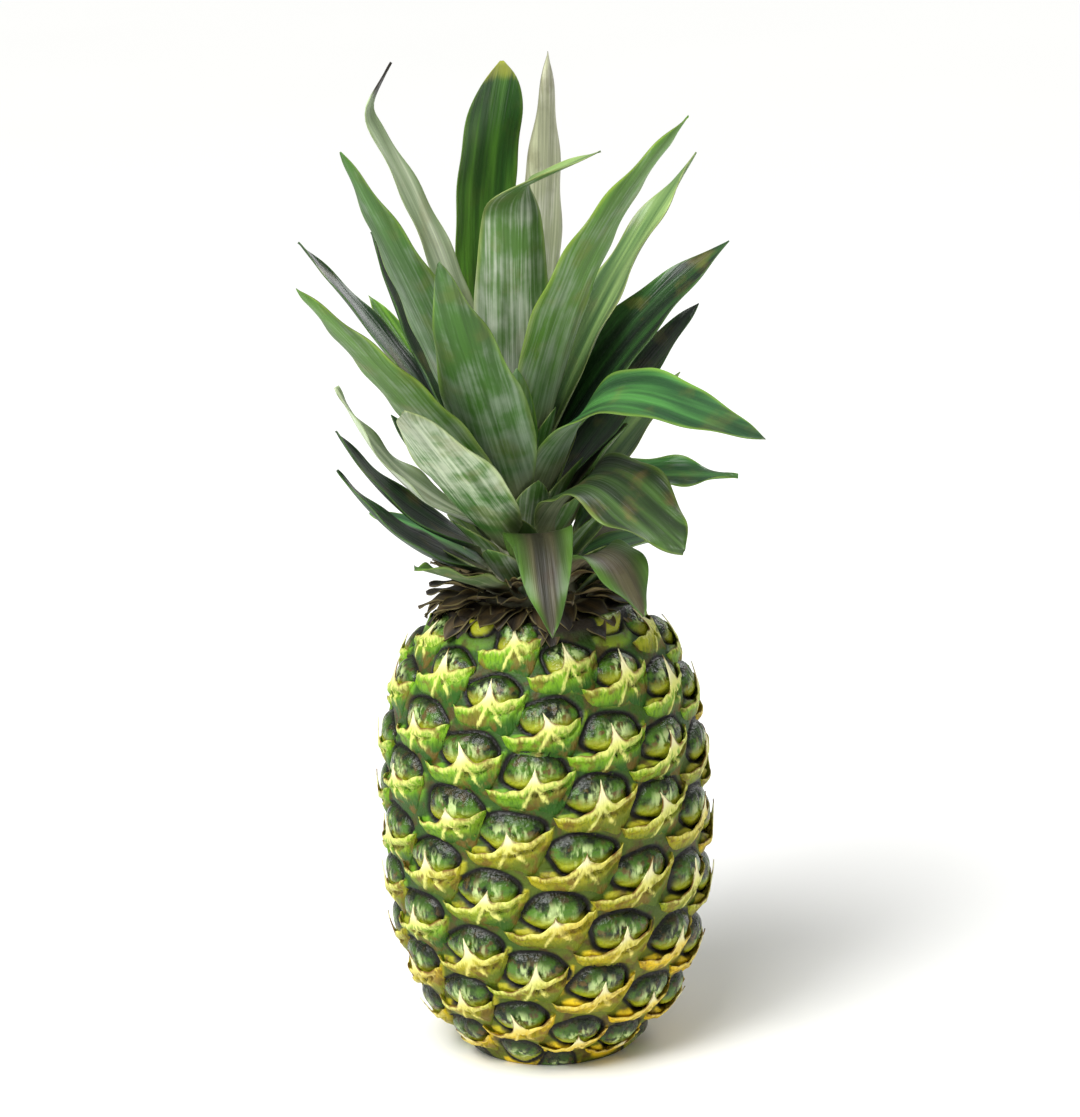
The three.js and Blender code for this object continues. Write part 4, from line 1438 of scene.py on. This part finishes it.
@dataclass(frozen=True)
class BractFinish:
    """Fleshy bract: green to olive body, painted shade towards its foot, fibrous streaks, and raised
    cream-yellow ridges and point.
    """

    # Dark green of the bract's foot: painted shade low on the bract, and its darker fibres.
    foot: str = "#28560a"
    foot_ripe: str = "#7f8410"
    green: str = "#82b41a"
    olive: str = "#aea818"
    yellow: str = "#f0c812"
    ridge: str = "#e4e67c"
    ridge_ripe: str = "#f0da6c"
    point: str = "#f8f2bc"
    scar: str = "#75521a"
    SCAR_MM = 5.0
    STREAK_MM = 1.0
    FIBRE_MM = 0.9
    RELIEF_MM = 0.5
    ROUGHNESS = 0.55
    FOOT_SHADE_BELOW_LIP_MM = (1.5, 9.0)
    TONES = (-0.22, 0.22)

    def material(self) -> bpy.types.Material:
        """Build the material.

        It reads the bracts' attributes bract (up, ridge, tone) and beyond (past the lip, out to the wing,
        millimetres below the lip). The body darkens with painted shade below the lip. Streaks about 1 mm
        apart run down from the lip, darker fibres and brown scars lie between them, and the upper edge is
        dry in places.

        Returns:
            The material.
        """
        paint = Paint("fleshy_bract")
        up, raised, tone = paint.split(paint.attribute("bract"))
        past_lip, _, below_lip = paint.split(paint.attribute("beyond"))
        streaks, scars = paint.lumps(self.STREAK_MM, stretch_z=3.0), paint.lumps(self.SCAR_MM)
        ripe = paint.maths("ADD", ripeness(paint), paint.rescale(tone, self.TONES))
        body = paint.blend(self.green, self.olive, ripe, (0.1, 0.5))
        body = paint.blend(body, self.yellow, ripe, (0.5, 0.95))
        foot = paint.blend(self.foot, self.foot_ripe, ripe, (0.2, 0.9))
        # Painted shade: the body darkens towards its foot, below the lip.
        body = paint.blend(body, foot, below_lip, self.FOOT_SHADE_BELOW_LIP_MM)
        body = paint.blend(body, foot, paint.lumps(self.FIBRE_MM, stretch_z=4.0), (0.45, 0.68), 0.55)
        body = paint.blend(body, self.scar, scars, (0.47, 0.64), 0.7)
        ridge = paint.blend(self.ridge, self.ridge_ripe, ripe, (0.3, 0.9))
        pale = paint.maths("MULTIPLY_ADD", paint.ease(streaks, (0.35, 0.65)), 0.4, raised)
        body = paint.blend(body, ridge, pale, (0.3, 1.2))
        colour = paint.blend(body, self.point, past_lip, (0.05, 0.5))
        dry = paint.maths("MULTIPLY", paint.ease(up, (0.9, 1.0)), paint.ease(scars, (0.4, 0.6)))
        colour = paint.mix(dry, colour, self.scar)
        return paint.finish(colour, self.ROUGHNESS, streaks, self.RELIEF_MM, specular=0.3)


def cut_stalk_material() -> bpy.types.Material:
    """Cut fibrous stalk: pale tan with darker fibre ends about a millimetre apart, dry and matt.

    Returns:
        The material.
    """
    paint = Paint("cut_stalk_fibre")
    cells = paint.add("TexVoronoi", {"Vector": paint.place(), "Scale": 1.0 / (1.1 * MM)})
    fibres = paint.ease((cells, "Distance"), (0.15, 0.6))
    colour = paint.mix(fibres, "#7d6038", "#cdb583")
    colour = paint.blend(colour, "#8c6b40", paint.lumps(7.0), (0.45, 0.7))
    return paint.finish(colour, 0.85, fibres, 0.3)


def floor_material() -> bpy.types.Material:
    """Plain pale paper, even and matt."""
    paint = Paint("pale_paper")
    return paint.finish(paint.mix(paint.lumps(300.0, 1.0), "#f6f6f4", "#f8f8f6"), 0.9)


# Stage, light and camera


@dataclass(frozen=True)
class CameraView:
    """Where the photograph was taken from, in millimetres and degrees."""

    target: tuple[float, float, float] = (1.0, 0.0, 182.0)
    elevation: float = 15.0
    roll: float = 2.0
    distance: float = 1500.0
    lens: float = 135.0
    sensor: float = 36.0
    clip: tuple[float, float] = (50.0, 50000.0)

    def build(self) -> None:
        """Build the camera: it looks along +Y and down at the target, rolled about its line of sight."""
        e, r = np.radians(self.elevation), np.radians(self.roll)
        back = np.array([0.0, -np.cos(e), np.sin(e)])
        right = np.array([1.0, 0.0, 0.0])
        up = np.cross(back, right)
        tilted_right = right * np.cos(r) - up * np.sin(r)
        tilted_up = up * np.cos(r) + right * np.sin(r)
        data = bpy.data.cameras.new("camera")
        data.lens, data.sensor_width = self.lens, self.sensor
        data.clip_start, data.clip_end = [distance * MM for distance in self.clip]
        camera = bpy.data.objects.new("camera", data)
        turn = Matrix([tilted_right, tilted_up, back]).transposed().to_4x4()
        place = (np.array(self.target) + back * self.distance) * MM
        camera.matrix_world = Matrix.Translation(Vector(place)) @ turn
        bpy.context.scene.collection.objects.link(camera)
        bpy.context.scene.camera = camera


@dataclass(frozen=True)
class SoftBox:
    """One soft lamp: place and target in metres, size in metres, power in watts."""

    name: str
    place: tuple[float, float, float]
    size: float
    power: float
    target: tuple[float, float, float] = (0.0, 0.0, 0.15)

    def build(self) -> None:
        """Build the lamp, turned to its target."""
        data = bpy.data.lights.new(self.name, "AREA")
        data.shape, data.size, data.energy = "SQUARE", self.size, self.power
        lamp = bpy.data.objects.new(self.name, data)
        lamp.location = self.place
        lamp.rotation_euler = (Vector(self.place) - Vector(self.target)).to_track_quat("Z", "Y").to_euler()
        bpy.context.scene.collection.objects.link(lamp)


class Studio:
    """Pale floor, even sky and soft lamps."""

    FLOOR_SIZE = 12.0
    FLOOR_LINES = 9
    FLOOR_DROP_MM = 0.02
    SKY = 0.36
    SUN_POWER = 2.8
    SUN_ANGLE = 40.0
    SUN_FROM = (-0.45, -0.55, 1.0)
    LAMPS = (
        SoftBox("key_light", (-0.7, -0.9, 1.1), 0.5, 9.0),
        SoftBox("rim_light", (0.6, 0.9, 0.8), 0.5, 4.0),
    )

    def build(self) -> None:
        """Build the floor, the sky, a broad even overhead light and the soft lamps."""
        half = self.FLOOR_SIZE / 2.0 / MM
        line = np.linspace(-half, half, self.FLOOR_LINES)
        x, y = np.meshgrid(line, line)
        points = np.stack([x, y, 0.0 * x - self.FLOOR_DROP_MM], axis=-1).reshape(-1, 3)
        faces = grid_faces(self.FLOOR_LINES, self.FLOOR_LINES, False)[:, ::-1]
        floor = build_piece("floor", points, [faces], floor_material())
        world = bpy.data.worlds.new("sky")
        bpy.context.scene.world = world
        world.use_nodes = True
        background = world.node_tree.nodes["Background"]
        background.inputs["Color"].default_value = (1.0, 1.0, 1.0, 1.0)
        background.inputs["Strength"].default_value = self.SKY
        data = bpy.data.lights.new("overhead_light", "SUN")
        data.energy, data.angle = self.SUN_POWER, np.radians(self.SUN_ANGLE)
        sun = bpy.data.objects.new("overhead_light", data)
        sun.rotation_euler = Vector(self.SUN_FROM).to_track_quat("Z", "Y").to_euler()
        bpy.context.scene.collection.objects.link(sun)
        for lamp in self.LAMPS:
            lamp.build()
        bpy.context.scene.view_settings.view_transform = "Standard"


def report(piece: bpy.types.Object) -> None:
    """Log a piece and its number of faces."""
    log.info("%s: %d faces", piece.name, len(piece.data.polygons))


def main() -> None:
    """Build the pineapple, its stage and the camera."""
    logging.basicConfig(level=logging.INFO, format="%(name)s: %(message)s")
    CameraView().build()
    Studio().build()
    fruit = Fruit(FruitSizes(), EyeSizes())
    skin = fruit.build(RindFinish().material())
    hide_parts("fruit")
    bracts = Bracts(fruit, BractSizes()).build(BractFinish().material())
    stalk = StalkEnd(StalkSizes()).build(cut_stalk_material())
    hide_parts("stalk_end")
    finishes = {tone: finish.material(f"{tone.value}_leaf") for tone, finish in LEAF_FINISHES.items()}
    crown = Crown(StemSizes(), LEAVES)
    stem = crown.build_stem(finishes[LeafTone.PALE])
    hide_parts("crown_stem")
    neck = crown.build_neck(finishes[LeafTone.HUSK])
    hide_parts("neck_bracts")
    pieces = [skin, bracts, stalk, stem, neck, *crown.build_leaves(finishes)]
    for piece in pieces:
        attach(piece, BODY)
        report(piece)


if __name__ == "__main__":
    main()
